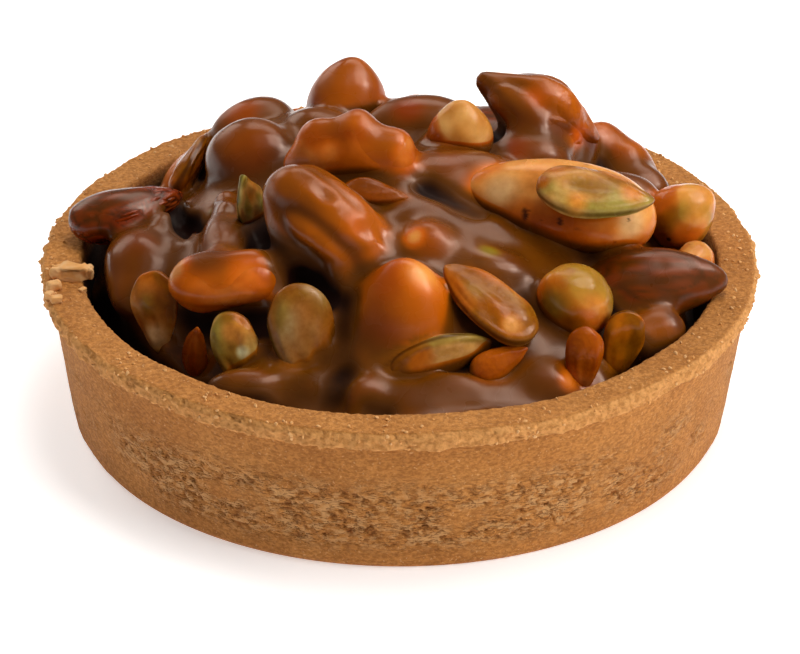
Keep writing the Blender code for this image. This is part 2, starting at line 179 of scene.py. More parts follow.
# The kinds of node that recur, and their settings
MATH = "ShaderNodeMath"
VECTOR_MATH = "ShaderNodeVectorMath"
SPLIT = "ShaderNodeSeparateXYZ"
NOISE = "ShaderNodeTexNoise"
RANGE = "ShaderNodeMapRange"
MIX = "ShaderNodeMix"
ATTRIBUTE = "ShaderNodeAttribute"
SMOOTH = {"interpolation_type": "SMOOTHSTEP"}
BLEND = {"data_type": "RGBA"}
TINT = {"data_type": "RGBA", "blend_type": "MULTIPLY"}


def add_node(tree, kind, inputs=None, **settings):
    """Adds a node with its own settings, and sets or links its inputs. A node given as an input is
    linked by its first output in use, and a colour is three numbers."""
    node = tree.nodes.new(kind)
    for name, value in settings.items():
        setattr(node, name, value)
    for name, value in (inputs or {}).items():
        socket = node.inputs[name]
        if isinstance(value, bpy.types.Node):
            value = next(output for output in value.outputs if output.enabled)
        if isinstance(value, bpy.types.NodeSocket):
            tree.links.new(value, socket)
        elif socket.type == "RGBA":
            socket.default_value = (*value, 1.0)
        else:
            socket.default_value = value
    return node


def new_object(name, mesh, material):
    mesh.name = name
    made = bpy.data.objects.new(name, mesh)
    bpy.context.scene.collection.objects.link(made)
    made.data.materials.clear()
    made.data.materials.append(material)
    return made


def mesh_from(name, points, faces):
    mesh = bpy.data.meshes.new(name)
    mesh.from_pydata(points.tolist(), [], faces.tolist())
    mesh.shade_smooth()
    return mesh


def set_numbers(mesh, name, values):
    mesh.attributes.new(name, "FLOAT", "POINT").data.foreach_set("value", values.astype(np.float32))


def set_colours(mesh, name, values):
    with_alpha = np.ones((len(values), 4), np.float32)
    with_alpha[:, :3] = values
    mesh.attributes.new(name, "FLOAT_COLOR", "POINT").data.foreach_set("color", with_alpha.ravel())


def set_places(mesh, name, values):
    places = values.astype(np.float32).ravel()
    mesh.attributes.new(name, "FLOAT_VECTOR", "POINT").data.foreach_set("vector", places)


def corners_of(mesh):
    """A mesh's vertices as an array of points."""
    points = np.empty(len(mesh.vertices) * 3)
    mesh.vertices.foreach_get("co", points)
    return points.reshape(-1, 3)


def points_and_faces(shape):
    """A bmesh's points and its faces as arrays. The bmesh is freed."""
    points = np.array([vertex.co for vertex in shape.verts])
    faces = np.array([[vertex.index for vertex in face.verts] for face in shape.faces])
    shape.free()
    return points, faces


def fine_ball(detail):
    """The points and triangles of a ball of radius 1, subdivided so many times."""
    ball = bmesh.new()
    bmesh.ops.create_icosphere(ball, subdivisions=detail, radius=1.0)
    return points_and_faces(ball)


class SoftNoise:
    """Smooth noise from -1 to 1 with blobs of one size, the same each run for a seed. It repeats in
    all directions, and a number added to the points picks another part of it."""

    SIDE = 24

    def __init__(self, seed, size):
        self.lattice = np.random.default_rng(seed).uniform(-1, 1, (self.SIDE,) * 3).astype(np.float32)
        self.size = size

    def __call__(self, points):
        place = points / self.size
        low = np.floor(place).astype(np.int32)
        share = (place - low).astype(np.float32)
        share = share * share * (3 - 2 * share)
        total = np.zeros(len(points), np.float32)
        for corner in itertools.product((0, 1), repeat=3):
            weight = np.ones(len(points), np.float32)
            for axis in range(3):
                weight *= share[:, axis] if corner[axis] else 1 - share[:, axis]
            x, y, z = ((low + corner) % self.SIDE).T
            total += weight * self.lattice[x, y, z]
        return total


def smooth_step(value, low, high):
    """0 below low, 1 above high, and smooth between."""
    share = np.clip((value - low) / (high - low), 0, 1)
    return share * share * (3 - 2 * share)


def blend_colours(first, second, share):
    first, second = np.asarray(first), np.asarray(second)
    return first + (second - first) * np.asarray(share)[..., None]


# The forms of nuts and seeds. Along a nut t runs from -1 at the blunt end to 1 at the point, and
# unit is a point of a ball. A taper is the nut's share of its full width, a bend moves its middle
# line sideways, a relief is how far the surface stands out in metres, and a skin is its colour.


def teardrop(t):
    return 0.957 - 0.287 * t


def plump_teardrop(t):
    return 0.98 - 0.13 * t


def slim_teardrop(t):
    return 0.935 - 0.355 * t


def round_nut(t):
    return 1.0 - 0.08 * t


def waisted(t):
    return 1.0 - 0.10 * np.cos(np.pi * t) - 0.06 * t


def even(t):
    return np.ones_like(t)


def straight(t):
    return np.zeros_like(t)


def rhombic(t):
    return 1.06 - 0.40 * t * t - 0.24 * t


def kidney(t):
    return 0.25 - 0.62 * t * t


def dents(unit, seed, depth):
    """Broad shallow dents, as a real nut has."""
    return depth * SoftNoise(seed + 50, 0.75)(unit + 40)


def almond_relief(unit, seed):
    """Grooves along the skin, deeper towards the point, and shallow dents."""
    stretched = unit * (0.28, 1.0, 1.0) + 20
    grooves = np.abs(SoftNoise(seed, 0.17)(stretched))
    grooves = grooves + 0.5 * np.abs(SoftNoise(seed + 1, 0.09)(stretched))
    deep = (0.75 + 0.25 * unit[:, 0]) * smooth_step(unit[:, 0], 0.98, 0.75)
    return dents(unit, seed, 0.34 * MM) - 0.24 * MM * (0.5 - grooves) * deep


def smooth_relief(unit, seed):
    return dents(unit, seed, 0.24 * MM) + 0.04 * MM * SoftNoise(seed, 0.24)(unit + 20)


def lumpy_relief(unit, seed):
    return dents(unit, seed, 0.50 * MM) + 0.16 * MM * SoftNoise(seed, 0.45)(unit + 20)


def cashew_relief(unit, seed):
    """Three plump humps along the bend."""
    humps = np.cos(3.0 * np.pi * unit[:, 0]) * np.clip(0.3 + unit[:, 1], 0, 1)
    return 0.46 * MM * humps + 0.16 * MM * SoftNoise(seed, 0.7)(unit + 20)


def walnut_relief(unit, seed):
    """Broad lobes with sharp valleys, either side of a groove along the middle."""
    lobes = (np.abs(SoftNoise(seed, 0.80)(unit + 20)) + 0.04) ** 0.8
    small_folds = np.abs(SoftNoise(seed + 1, 0.32)(unit + 20))
    inside = 1 - unit[:, 0] ** 4
    return MM * ((1.9 * lobes - 0.7 * small_folds) * inside - 0.8 - 0.5 * unit[:, 1] ** 2)


def chunk_relief(unit, seed):
    """A broken piece: flat facets that meet in ridges, and a few folds."""
    facets = np.abs(SoftNoise(seed, 1.05)(unit + 20))
    small_folds = np.abs(SoftNoise(seed + 1, 0.40)(unit + 20))
    return MM * (1.5 * facets - 0.6 - 0.5 * small_folds)


def seed_relief(unit, seed):
    """A flat seed's raised edge with a shallow groove inside it."""
    across = np.sqrt(np.clip(1 - unit[:, 2] ** 2, 0, 1))
    edge = np.exp(-(((across - 0.97) / 0.05) ** 2))
    groove = np.exp(-(((across - 0.87) / 0.07) ** 2))
    relief = MM * (0.04 * edge - 0.03 * groove) + dents(unit, seed, 0.34 * MM)
    return relief + dents(unit * 2, seed + 7, 0.12 * MM)


def sunflower_relief(unit, seed):
    stretched = unit * (0.3, 1.0, 1.0) + 20
    return 0.16 * MM * SoftNoise(seed, 0.4)(stretched) + dents(unit, seed, 0.15 * MM)


def drifting_skin(first, second, blob, low, high, stretch=(1, 1, 1), edge=None):
    """A skin that drifts between two colours in soft blobs. Their size and stretch are shares of the
    nut's half size, and low and high are the noise's values where the one colour is whole and where
    the other is. A flat seed has a thin dark line round its edge."""

    def skin(unit, seed):
        share = smooth_step(SoftNoise(seed, blob)(unit * stretch + 20), low, high)
        drift = blend_colours(linear(first), linear(second), share)
        if edge:
            line = np.exp(-((unit[:, 2] / 0.10) ** 2))
            drift = blend_colours(drift, linear(edge), 0.7 * line)
        return drift

    return skin


hazelnut_skin = drifting_skin("ecb868", "cf8c3a", 0.6, -0.5, 0.8)
olive_skin = drifting_skin("ecb858", "b8a440", 0.8, -0.3, 0.5)
cashew_skin = drifting_skin("e6b468", "cc9044", 0.5, -0.4, 0.8)
# Ochre with a green cast in patches
pumpkin_skin = drifting_skin("a89a48", "d6b264", 0.6, -0.5, 0.4, edge="3a240c")
# The pumpkin seed's own green, where the caramel hasn't stained it
green_skin = drifting_skin("a8a048", "ead27a", 0.5, -0.5, 0.6, edge="3a2c0c")
# A pumpkin seed that has dulled to grey-tan
pale_skin = drifting_skin("ac9a68", "9c8c44", 0.5, -0.4, 0.5, edge="3a2c0c")
sunflower_skin = drifting_skin("dcae6c", "c8904c", 0.4, -0.5, 0.5, (0.3, 1, 1))
cream_skin = drifting_skin("f8cc78", "e2a448", 0.5, -0.2, 0.8, (0.5, 1, 1))


def blanched_skin(unit, seed):
    """Cream and tan, with a few brown specks."""
    specks = smooth_step(SoftNoise(seed + 3, 0.11)(unit * (1.6, 0.9, 1) + 20), 0.80, 0.90)
    return blend_colours(cream_skin(unit, seed), linear("5a2a08"), 0.85 * specks)


def almond_skin(unit, seed):
    """Dark brown, lighter in its long grooves."""
    grooves = np.abs(SoftNoise(seed, 0.17)(unit * (0.28, 1.0, 1.0) + 20))
    return blend_colours(linear("3c1a08"), linear("96501c"), smooth_step(grooves, 0.0, 0.5))


def walnut_skin(unit, seed):
    """Tan on the lobes and brown in the valleys between them."""
    lobes = np.abs(SoftNoise(seed, 0.80)(unit + 20))
    return blend_colours(linear("7c5222"), linear("dcb060"), smooth_step(lobes, 0.05, 0.45))


class Kind:
    """A sort of nut: its full size in millimetres, the functions that form and colour it, how far its
    tip is drawn out, how full it is through its height, where 1 is round and less is boxier, and how
    often its ball is subdivided. The caramel climbs it by its share of the usual fillet."""

    def __init__(self, size, taper, bend, tip, relief, skin, fullness=1.0, detail=6, climb=1.0):
        self.half = np.array(size) * (MM / 2)
        self.taper = taper
        self.bend = bend
        self.tip = tip
        self.relief = relief
        self.skin = skin
        self.fullness = fullness
        self.detail = detail
        self.climb = climb


PUMPKIN_FORM = (teardrop, straight, 0.08, seed_relief, pumpkin_skin)
SUNFLOWER_FORM = (slim_teardrop, straight, 0.10, sunflower_relief, sunflower_skin)
KINDS = {
    "almond": Kind((21.0, 12.0, 8.2), teardrop, straight, 0.06, almond_relief, almond_skin),
    "blanched_almond": Kind(
        (21.0, 11.0, 8.8), plump_teardrop, straight, 0.0, smooth_relief, blanched_skin
    ),
    "short_almond": Kind((13.8, 8.2, 7.6), waisted, straight, 0.0, lumpy_relief, cashew_skin),
    "hazelnut": Kind((12.4, 11.6, 11.0), round_nut, straight, 0.10, smooth_relief, hazelnut_skin),
    "cashew": Kind((18.5, 9.0, 8.0), even, kidney, 0.0, cashew_relief, cashew_skin),
    "peanut": Kind(
        (11.5, 8.4, 7.6), waisted, straight, 0.03, smooth_relief, hazelnut_skin, detail=5
    ),
    "pumpkin_seed": Kind((13.6, 7.8, 3.2), *PUMPKIN_FORM, fullness=0.72, climb=0.45),
    "sunflower_seed": Kind((8.6, 4.8, 3.0), *SUNFLOWER_FORM, fullness=0.85, detail=5, climb=0.45),
    "walnut": Kind((19.5, 10.8, 9.0), even, straight, 0.0, walnut_relief, walnut_skin),
    "walnut_chunk": Kind((19.5, 11.8, 10.0), rhombic, straight, 0.0, chunk_relief, walnut_skin),
}

# How the caramel lies on a nut: how far its surface stands off the nut, and how thick the nut's own
# clear glaze is, both in millimetres, and by how much both grow from the nut's middle to its end in
# X, Y and Z. Where the caramel's surface is below 0 the nut stands out of it bare but for its glaze.
USUAL_COVER = (0.10, 0.20, (0, 0, 0))
COVERS = {
    "almond_left": (-0.12, 0.10, (-0.25, 0.0, 0.60)),
    "almond_right": (0.20, 0.14, (0.20, 0.0, 0.25)),
    "almond_blanched": (-0.60, 0.09, (-0.14, 0.0, -0.50)),
    "almond_front_left": (-0.06, 0.20, (0.0, 0.20, 0.25)),
    "walnut_front": (0.22, 0.16, (-0.16, 0.10, 0.20)),
    "walnut_back_right": (0.12, 0.30, (-0.35, 0.0, 0.10)),
    "cashew_middle": (-0.02, 0.16, (0.0, 0.10, 0.20)),
    "hazelnut_top": (0.02, 0.18, (-0.10, 0.0, 0.20)),
    "hazelnut_front": (0.20, 0.04, (-0.14, 0.0, -0.12)),
    "hazelnut_pale": (-0.45, 0.02, (-0.50, 0.0, -0.45)),
    "hazelnut_right": (-0.50, 0.07, (-0.10, 0.0, -0.10)),
    "hazelnut_right_front": (-0.30, 0.09, (-0.25, 0.0, -0.20)),
    "peanut_behind": (0.25, 0.35, (0.30, 0.0, -0.10)),
    "peanut_right": (0.06, 0.34, (0.0, 0.0, 0.10)),
    "peanut_low_right": (-0.55, 0.05, (0.0, 0.0, -0.10)),
    "pumpkin_seed_top": (-0.60, 0.020, (0.0, 0.0, 0.0)),
    "pumpkin_seed_middle": (-0.35, 0.10, (-0.05, 0.0, 0.10)),
    "pumpkin_seed_pale": (-0.12, 0.06, (0.0, 0.0, 0.06)),
    "pumpkin_seed_green": (-0.20, 0.05, (0.05, 0.0, 0.03)),
    "pumpkin_seed_left": (-0.35, 0.10, (0.10, 0.0, 0.10)),
    "pumpkin_seed_edge": (-0.30, 0.06, (-0.35, 0.0, 0.0)),
    "pumpkin_seed_dark": (-0.10, 0.26, (0.0, 0.0, 0.0)),
    "pumpkin_seed_broken": (-0.60, 0.02, (0.0, 0.0, 0.0)),
    "pumpkin_seed_back_left": (-0.05, 0.20, (0.0, 0.0, -0.10)),
    "sunflower_seed_middle": (-0.25, 0.55, (0.0, 0.0, -0.2)),
    "sunflower_seed_left": (-0.60, 0.16, (0.0, 0.0, 0.0)),
    "sunflower_seed_front": (-0.50, 0.14, (0.0, 0.0, 0.0)),
    "sunflower_seed_right": (-0.45, 0.16, (0.0, 0.0, 0.20)),
}
# Nuts whose skin differs from that of their kind
OWN_SKINS = {
    "hazelnut_right": olive_skin,
    "hazelnut_right_front": olive_skin,
    "pumpkin_seed_green": green_skin,
    "pumpkin_seed_broken": green_skin,
    "pumpkin_seed_pale": pale_skin,
    "pumpkin_seed_dark": green_skin,
    "peanut_right": walnut_skin,
}

# Spots where a nut shines through the caramel, and where a nut's glaze is thin or thick: middle and
# half width in millimetres, the film's thickness at its middle and the colour under it
PATCHES = (
    # Nuts just under the caramel: soft glows of orange, ochre and olive, which is so green here
    # because the amber over it takes most of the green away
    ((1.8, -14.5, 28.8), 1.2, 0.02, "f0b45a"),
    # A painted highlight: a soft pale yellow spot on the front hazelnut's top
    ((2.4, -22.0, 27.8), 2.4, 0.035, "ffcc68"),
    # Again nuts just under the caramel
    ((10.3, -14.7, 27.6), 1.5, 0.30, "a8e8b8"),
    ((-22.9, 0.0, 24.5), 1.5, 0.30, "a8e8b8"),
    ((-17.8, 6.2, 29.8), 3.5, 0.75, "d89440"),
    ((-19.5, 18.6, 29.2), 2.6, 0.50, "d89440"),
    ((1.0, 14.4, 31.7), 2.2, 0.50, "b8602c"),
    ((5.9, 0.4, 30.3), 2.6, 0.90, "d08a3c"),
    ((13.4, 6.5, 29.7), 2.4, 0.50, "a85820"),
    ((-30.4, -4.8, 23.5), 2.2, 0.90, "a05020"),
    ((19.2, -28.5, 18.3), 1.4, 0.08, "f0c488"),
    # The short nut at the front left: a dry tan end, an orange one, and caramel run over its top
    ((-21.9, -16.4, 27.3), 2.4, 1.10, "a86838"),
    ((-25.4, -16.6, 25.8), 1.8, 0.012, "d09458"),
    ((-17.2, -19.0, 26.2), 2.0, 0.08, "f4b458"),
    # The blanched almond's two cream patches
    ((11.6, -5.5, 30.4), 2.2, 0.014, "e8c488"),
    ((26.9, -8.1, 27.6), 1.8, 0.012, "f0cc90"),
    # Orange drips along the top pumpkin seed's lower edge, and its brown end
    ((26.6, -9.5, 32.0), 1.5, 0.028, "e0a040"),
    ((20.2, -11.7, 31.9), 1.2, 0.024, "eaac48"),
    ((16.2, -9.1, 33.1), 1.0, 0.20, "c0a868"),
    # Bright humps of the cashew, and facets of the walnut in front
    ((-8.1, -1.5, 33.3), 1.4, 0.06, "f6bc60"),
    ((0.5, -1.8, 32.7), 1.4, 0.07, "f4b85c"),
    ((-5.4, -15.3, 30.5), 1.6, 0.16, "e8b060"),
    ((-3.1, -15.7, 26.9), 1.8, 0.14, "f0b860"),
    ((16.4, 13.4, 32.8), 1.8, 0.16, "e8a04c"),
    ((21.8, 12.1, 28.9), 1.4, 0.12, "e8a04c"),
    # The pumpkin seeds' pale points, and the hazelnut's olive side at the right
    ((12.5, -25.8, 23.8), 1.2, 0.025, "f0c070"),
    ((-28.0, -17.3, 17.7), 1.5, 0.02, "e8cc98"),
    ((-17.6, -24.7, 19.7), 0.7, 0.006, "eceab8"),
    ((17.1, -22.1, 24.3), 1.8, 0.05, "98943c"),
)

# Dark specks on bare nuts: the node, and the speck's middle and half sizes in millimetres
SPECKS = (
    ("almond_blanched", (14.5, -8.0, 28.5), (0.34, 0.80, 0.80)),
    ("almond_blanched", (18.5, -9.1, 28.1), (0.28, 0.55, 0.55)),
    ("almond_blanched", (26.5, -8.2, 28.0), (0.16, 0.40, 0.40)),
    ("hazelnut_right", (31.9, -0.7, 21.5), (0.32, 0.32, 0.32)),
)

# Half the thickness that the caramel has where it ends on a nut
EDGE = 0.09 * MM

# How often the ball of a nut on the far side is subdivided
FAR_DETAIL = 5

# A nut's material slot is its kind, but for two nuts that have a form of their own
SLOTS = {row["node"]: row["material_slot"] for row in frame["record"]["subparts"]}
NUT_NODES = [node for node in sorted(frame["nodes"]) if SLOTS[node] in KINDS]
OWN_KINDS = {"almond_front_left": "short_almond", "walnut_back_right": "walnut_chunk"}


def patched(points, skin, film):
    """The skin colours and film depths with the patches laid in."""
    for middle, half_width, depth, hex_colour in PATCHES:
        reach = np.linalg.norm(points - np.array(middle) * MM, axis=1) / (half_width * MM)
        share = smooth_step(reach, 1.6, 0.3)
        skin = blend_colours(skin, linear(hex_colour), share)
        film = film ** (1 - share) * depth**share
    return skin, film


class Nut:
    """One nut: its kind, where its solid lies in the frame, and its fine surface."""

    def __init__(self, node):
        self.node = node
        self.kind = KINDS[OWN_KINDS.get(node, SLOTS[node])]
        self.seed = 11 * NUT_NODES.index(node) + 3
        self.skin = OWN_SKINS.get(node, self.kind.skin)
        cover, glaze, lean = COVERS.get(node, USUAL_COVER)
        self.cover = cover * MM
        self.glaze = glaze * MM
        self.lean = np.array(lean) * MM
        points = np.unique(corners_of(frame["nodes"][node].data).round(6), axis=0)
        self.find_lie(points)

    def find_lie(self, points):
        """Reads the nut's axes from its solid: X to the thin end, Z through its flat side, upwards."""
        spread = points - points.mean(0)
        up, _, point = np.linalg.eigh(spread.T @ spread)[1].T
        if up[2] < 0:
            up = -up
        along = spread @ point
        girth = (spread**2).sum(1) - along**2
        if (along * girth).sum() > 0:
            point = -point
        side = np.cross(up, point)
        bowed = self.kind.bend is kidney
        if bowed and ((spread @ point) ** 2 * (spread @ side)).sum() > 0:
            point, side = -point, -side
        along = spread @ point
        half_length = (along.max() - along.min()) / (2 + self.kind.tip)
        self.half = self.kind.half * (half_length / self.kind.half[0])
        start = along.min() + half_length
        bend = self.kind.bend((along - start) / half_length).mean() * self.half[1]
        self.middle = points.mean(0) + point * start - side * bend
        self.axes = np.array((point, side, up))

    def local(self, points):
        """Points of the frame in the nut's own axes."""
        return (points - self.middle) @ self.axes.T

    def unit(self, points):
        """Where points of the frame lie on the ball that the nut's form starts from."""
        local = self.local(points) / self.half
        t = np.clip(local[:, 0], -1, 1)
        width = self.kind.taper(t)
        unit = np.stack((t, (local[:, 1] - self.kind.bend(t)) / width, local[:, 2] / width), 1)
        return unit / np.maximum(np.linalg.norm(unit, axis=1, keepdims=True), 1e-6)

    def surface(self):
        """The nut's fine mesh: its points in the frame, the same on the ball, and its faces."""
        # The far side's nuts, which have no cover of their own, are a step coarser
        detail = self.kind.detail if self.node in COVERS else FAR_DETAIL
        unit, faces = fine_ball(detail)
        t, y, z = unit.T
        width = self.kind.taper(t)
        along = t * (1 + self.kind.tip * np.maximum(t, 0) ** 6)
        full = np.sign(z) * np.abs(z) ** self.kind.fullness
        shape = np.stack((along, y * width + self.kind.bend(t), full * width), 1) * self.half
        outwards = shape / self.half**2
        outwards /= np.linalg.norm(outwards, axis=1, keepdims=True)
        shape += outwards * self.kind.relief(unit, self.seed)[:, None]
        return shape @ self.axes + self.middle, unit, faces

    def skin_at(self, unit):
        return self.skin(unit, self.seed)

    def growth_at(self, points):
        """How much thicker than at the nut's middle caramel and glaze are, in metres."""
        return (points - self.middle) / self.half[0] @ self.lean

    def glaze_at(self, points):
        """The clear glaze's thickness in millimetres: uneven, thicker in the nut's hollows and the way
        that the caramel ran."""
        patches = SoftNoise(self.seed + 5, 3.0 * MM)(points + 1.0)
        growth = 0.6 * self.growth_at(points)
        growth -= 0.30 * self.kind.climb * self.kind.relief(self.unit(points), self.seed)
        return np.clip(self.glaze * (1 + 0.9 * patches) + growth, 0.35 * self.glaze, None) / MM

    def cover_at(self, points):
        """How far the caramel's surface stands off the nut there, in metres. It has a rounded edge
        where it ends, so it never runs along the nut's own surface."""
        patches = SoftNoise(self.seed + 9, 4.6 * MM)(points + 1.0)
        cover = self.cover + 0.16 * MM * patches + self.growth_at(points)
        return cover + EDGE * np.tanh(cover / (0.25 * EDGE))


# Materials


def material_nodes(name):
    """A new material, and what adds a node to it."""
    made = bpy.data.materials.new(name)
    made.use_nodes = True
    made.node_tree.nodes.clear()
    return made, functools.partial(add_node, made.node_tree)


def finish_surface(add, base, roughness, bumps, finish):
    """A Principled surface from its base colour, its roughness, its bumps, each a height and a depth in
    metres, and the rest of its finish."""
    inputs = {"Base Color": base, "Roughness": roughness, **finish}
    for height, depth in bumps:
        bump = {"Height": height, "Distance": depth, "Strength": 1.0}
        if "Normal" in inputs:
            bump["Normal"] = inputs["Normal"]
        inputs["Normal"] = add("ShaderNodeBump", bump)
    surface = add("ShaderNodeBsdfPrincipled", inputs)
    add("ShaderNodeOutputMaterial", {"Surface": surface})


# How thick a film of caramel, in millimetres, takes its amber colour and then hides what is under it
AMBER_FILM = 0.035
HIDING_FILM = 0.60
# and the film from which painted shade darkens it, and where that painted shade is black
SHADE_FILM = 2.6
BLACK_SHADE_FILM = 3.2 * SHADE_FILM


def glazed_colour(add, skin, film):
    """A skin seen through a film of caramel: amber where it is thin, caramel where it is thick, and
    darkened to painted shade where painted shade is counted into the film.
    """
    look = bpy.context.scene.tart_caramel
    clear = add(MATH, {0: film, 1: -AMBER_FILM}, operation="DIVIDE")
    clear = add(MATH, {0: clear}, operation="EXPONENT")
    thin = add(MATH, {0: film, 1: -HIDING_FILM}, operation="DIVIDE")
    thin = add(MATH, {0: thin}, operation="EXPONENT")
    stained = add(MIX, {0: 1.0, 6: skin, 7: look.amber}, **TINT)
    through = add(MIX, {0: clear, 6: stained, 7: skin}, **BLEND)
    place = add("ShaderNodeTexCoord").outputs["Object"]
    drift = add(NOISE, {"Vector": place, "Scale": 1 / (6 * MM)})
    drift = add(RANGE, {0: drift, 1: 0.3, 2: 0.7}, **SMOOTH)
    darker = [0.72 * channel for channel in look.body]
    body = add(MIX, {0: drift, 6: look.body, 7: darker}, **BLEND)
    # Painted shade: the shade counted into the film darkens the caramel to the gap shade colour
    deep = add(RANGE, {0: film, 1: SHADE_FILM, 2: BLACK_SHADE_FILM}, **SMOOTH)
    body = add(MIX, {0: deep, 6: body, 7: look.deep}, **BLEND)
    return add(MIX, {0: thin, 6: body, 7: through}, **BLEND)


# Glaze: cooked sugar, set hard enough to shine, with a thin wet coat over it
GLAZE = {
    "Specular IOR Level": 0.19,
    "IOR": 1.45,
    "Coat Weight": 0.08,
    "Coat Roughness": 0.14,
    "Coat IOR": 1.45,
    "Subsurface Radius": (1.0, 0.45, 0.18),
    "Subsurface Scale": 1.2 * MM,
}


def glazed_material(name, bump_size, bump_depth, see_through):
    """A nut's surface under its glaze. The bump's size and depth are in metres."""
    material, add = material_nodes(name)
    skin = add(ATTRIBUTE, attribute_name="skin").outputs["Color"]
    film = add(ATTRIBUTE, attribute_name="film").outputs["Fac"]
    own_place = add(ATTRIBUTE, attribute_name="own_place").outputs["Vector"]
    grain = add(NOISE, {"Vector": own_place, "Scale": 1 / bump_size, "Detail": 3.0})
    grain_share = add(RANGE, {0: grain, 1: 0.25, 2: 0.75}, **SMOOTH)
    darker = add(MIX, {0: 1.0, 6: skin, 7: (0.80, 0.72, 0.62)}, **TINT)
    grainy = add(MIX, {0: grain_share, 6: skin, 7: darker}, **BLEND)
    roughness = add(NOISE, {"Vector": own_place, "Scale": 1 / (2.5 * MM)})
    roughness = add(RANGE, {0: roughness, 1: 0.3, 2: 0.7, 3: 0.16, 4: 0.30}, **SMOOTH)
    finish = {**GLAZE, "Subsurface Weight": see_through}
    finish_surface(add, glazed_colour(add, grainy, film), roughness, [(grain, bump_depth)], finish)
    return material


# A nut's material for each kind: its bump size and depth in metres, and how much light it lets in
GLAZED = {
    # Almond skin, dry-roasted: dull red-brown paper over the nut, wet with glaze in its grooves
    "almond": ("roasted_almond_skin_glazed", 0.7 * MM, 0.05 * MM, 0.0),
    # Blanched almond: waxy cream kernel that light enters a little way
    "blanched_almond": ("blanched_almond_kernel_glazed", 1.6 * MM, 0.05 * MM, 0.20),
    # Hazelnut: dense pale kernel, smooth as porcelain under its glaze
    "hazelnut": ("skinned_hazelnut_kernel_glazed", 2.0 * MM, 0.05 * MM, 0.20),
    # Cashew: soft ivory kernel with a silky face
    "cashew": ("cashew_kernel_glazed", 2.2 * MM, 0.06 * MM, 0.20),
    # Peanut: oily yellow kernel
    "peanut": ("peanut_kernel_glazed", 1.6 * MM, 0.05 * MM, 0.20),
    # Pumpkin seed: thin grey-green skin, faintly ribbed
    "pumpkin_seed": ("pumpkin_seed_skin_glazed", 0.8 * MM, 0.05 * MM, 0.10),
    # Sunflower seed: grey-tan kernel with fine long ribs
    "sunflower_seed": ("sunflower_kernel_glazed", 0.6 * MM, 0.06 * MM, 0.10),
    # Walnut: papery brown skin over deep folds
    "walnut": ("walnut_kernel_glazed", 0.8 * MM, 0.12 * MM, 0.0),
}


def caramel_material():
    """Soft caramel, poured warm and set: dark, smooth and glossy, and amber where it is thin."""
    material, add = material_nodes("poured_soft_caramel")
    skin = add(ATTRIBUTE, attribute_name="skin").outputs["Color"]
    film = add(ATTRIBUTE, attribute_name="film").outputs["Fac"]
    place = add("ShaderNodeTexCoord").outputs["Object"]
    ripples = add(NOISE, {"Vector": place, "Scale": 1 / (3.5 * MM), "Detail": 1.0})
    roughness = add(NOISE, {"Vector": place, "Scale": 1 / (5 * MM)})
    roughness = add(RANGE, {0: roughness, 1: 0.3, 2: 0.7, 3: 0.18, 4: 0.34}, **SMOOTH)
    # Down in the gaps it is dusted with crumbs and doesn't glint
    dusty = add(RANGE, {0: film, 1: SHADE_FILM, 2: 2 * SHADE_FILM, 3: 0.2, 4: 0.95}, **SMOOTH)
    roughness = add(MATH, {0: roughness, 1: dusty}, operation="MAXIMUM")
    finish = {
        "Specular IOR Level": 0.30,
        "IOR": 1.45,
        "Coat Weight": 0.05,
        "Coat Roughness": 0.20,
        "Coat IOR": 1.45,
        "Subsurface Weight": 0.06,
        "Subsurface Radius": (1.0, 0.4, 0.15),
        "Subsurface Scale": 0.8 * MM,
    }
    finish_surface(add, glazed_colour(add, skin, film), roughness, [(ripples, 0.10 * MM)], finish)
    return material


# Baked dough is dry, so it hardly shines
DRY = {"Specular IOR Level": 0.3, "IOR": 1.45}


def from_axis(add, x, y):
    """How far a place is from the tart's axis."""
    x_square = add(MATH, {0: x, 1: 2.0}, operation="POWER")
    y_square = add(MATH, {0: y, 1: 2.0}, operation="POWER")
    square = add(MATH, {0: x_square, 1: y_square}, operation="ADD")
    return add(MATH, {0: square}, operation="SQRT")


def soaked_and_shaded_share(add, place):
    """How far a place in the crust is on its inside, from just under the rim down: there the caramel
    has stained it, and painted shade darkens it, the more the deeper it lies."""
    x, y, height = add(SPLIT, {0: place}).outputs
    inner_wall = add(MATH, {0: height, 1: WALL_LEAN}, operation="MULTIPLY")
    inner_wall = add(MATH, {0: inner_wall, 1: BASE_RADIUS - WALL}, operation="ADD")
    beyond = add(MATH, {0: from_axis(add, x, y), 1: inner_wall}, operation="SUBTRACT")
    inside = add(RANGE, {0: beyond, 1: 1.2 * MM, 2: 0.4 * MM}, **SMOOTH)
    deep = add(RANGE, {0: height, 1: RIM_HEIGHT - 0.6 * MM, 2: RIM_HEIGHT - 3.0 * MM}, **SMOOTH)
    return add(MATH, {0: inside, 1: deep}, operation="MULTIPLY")


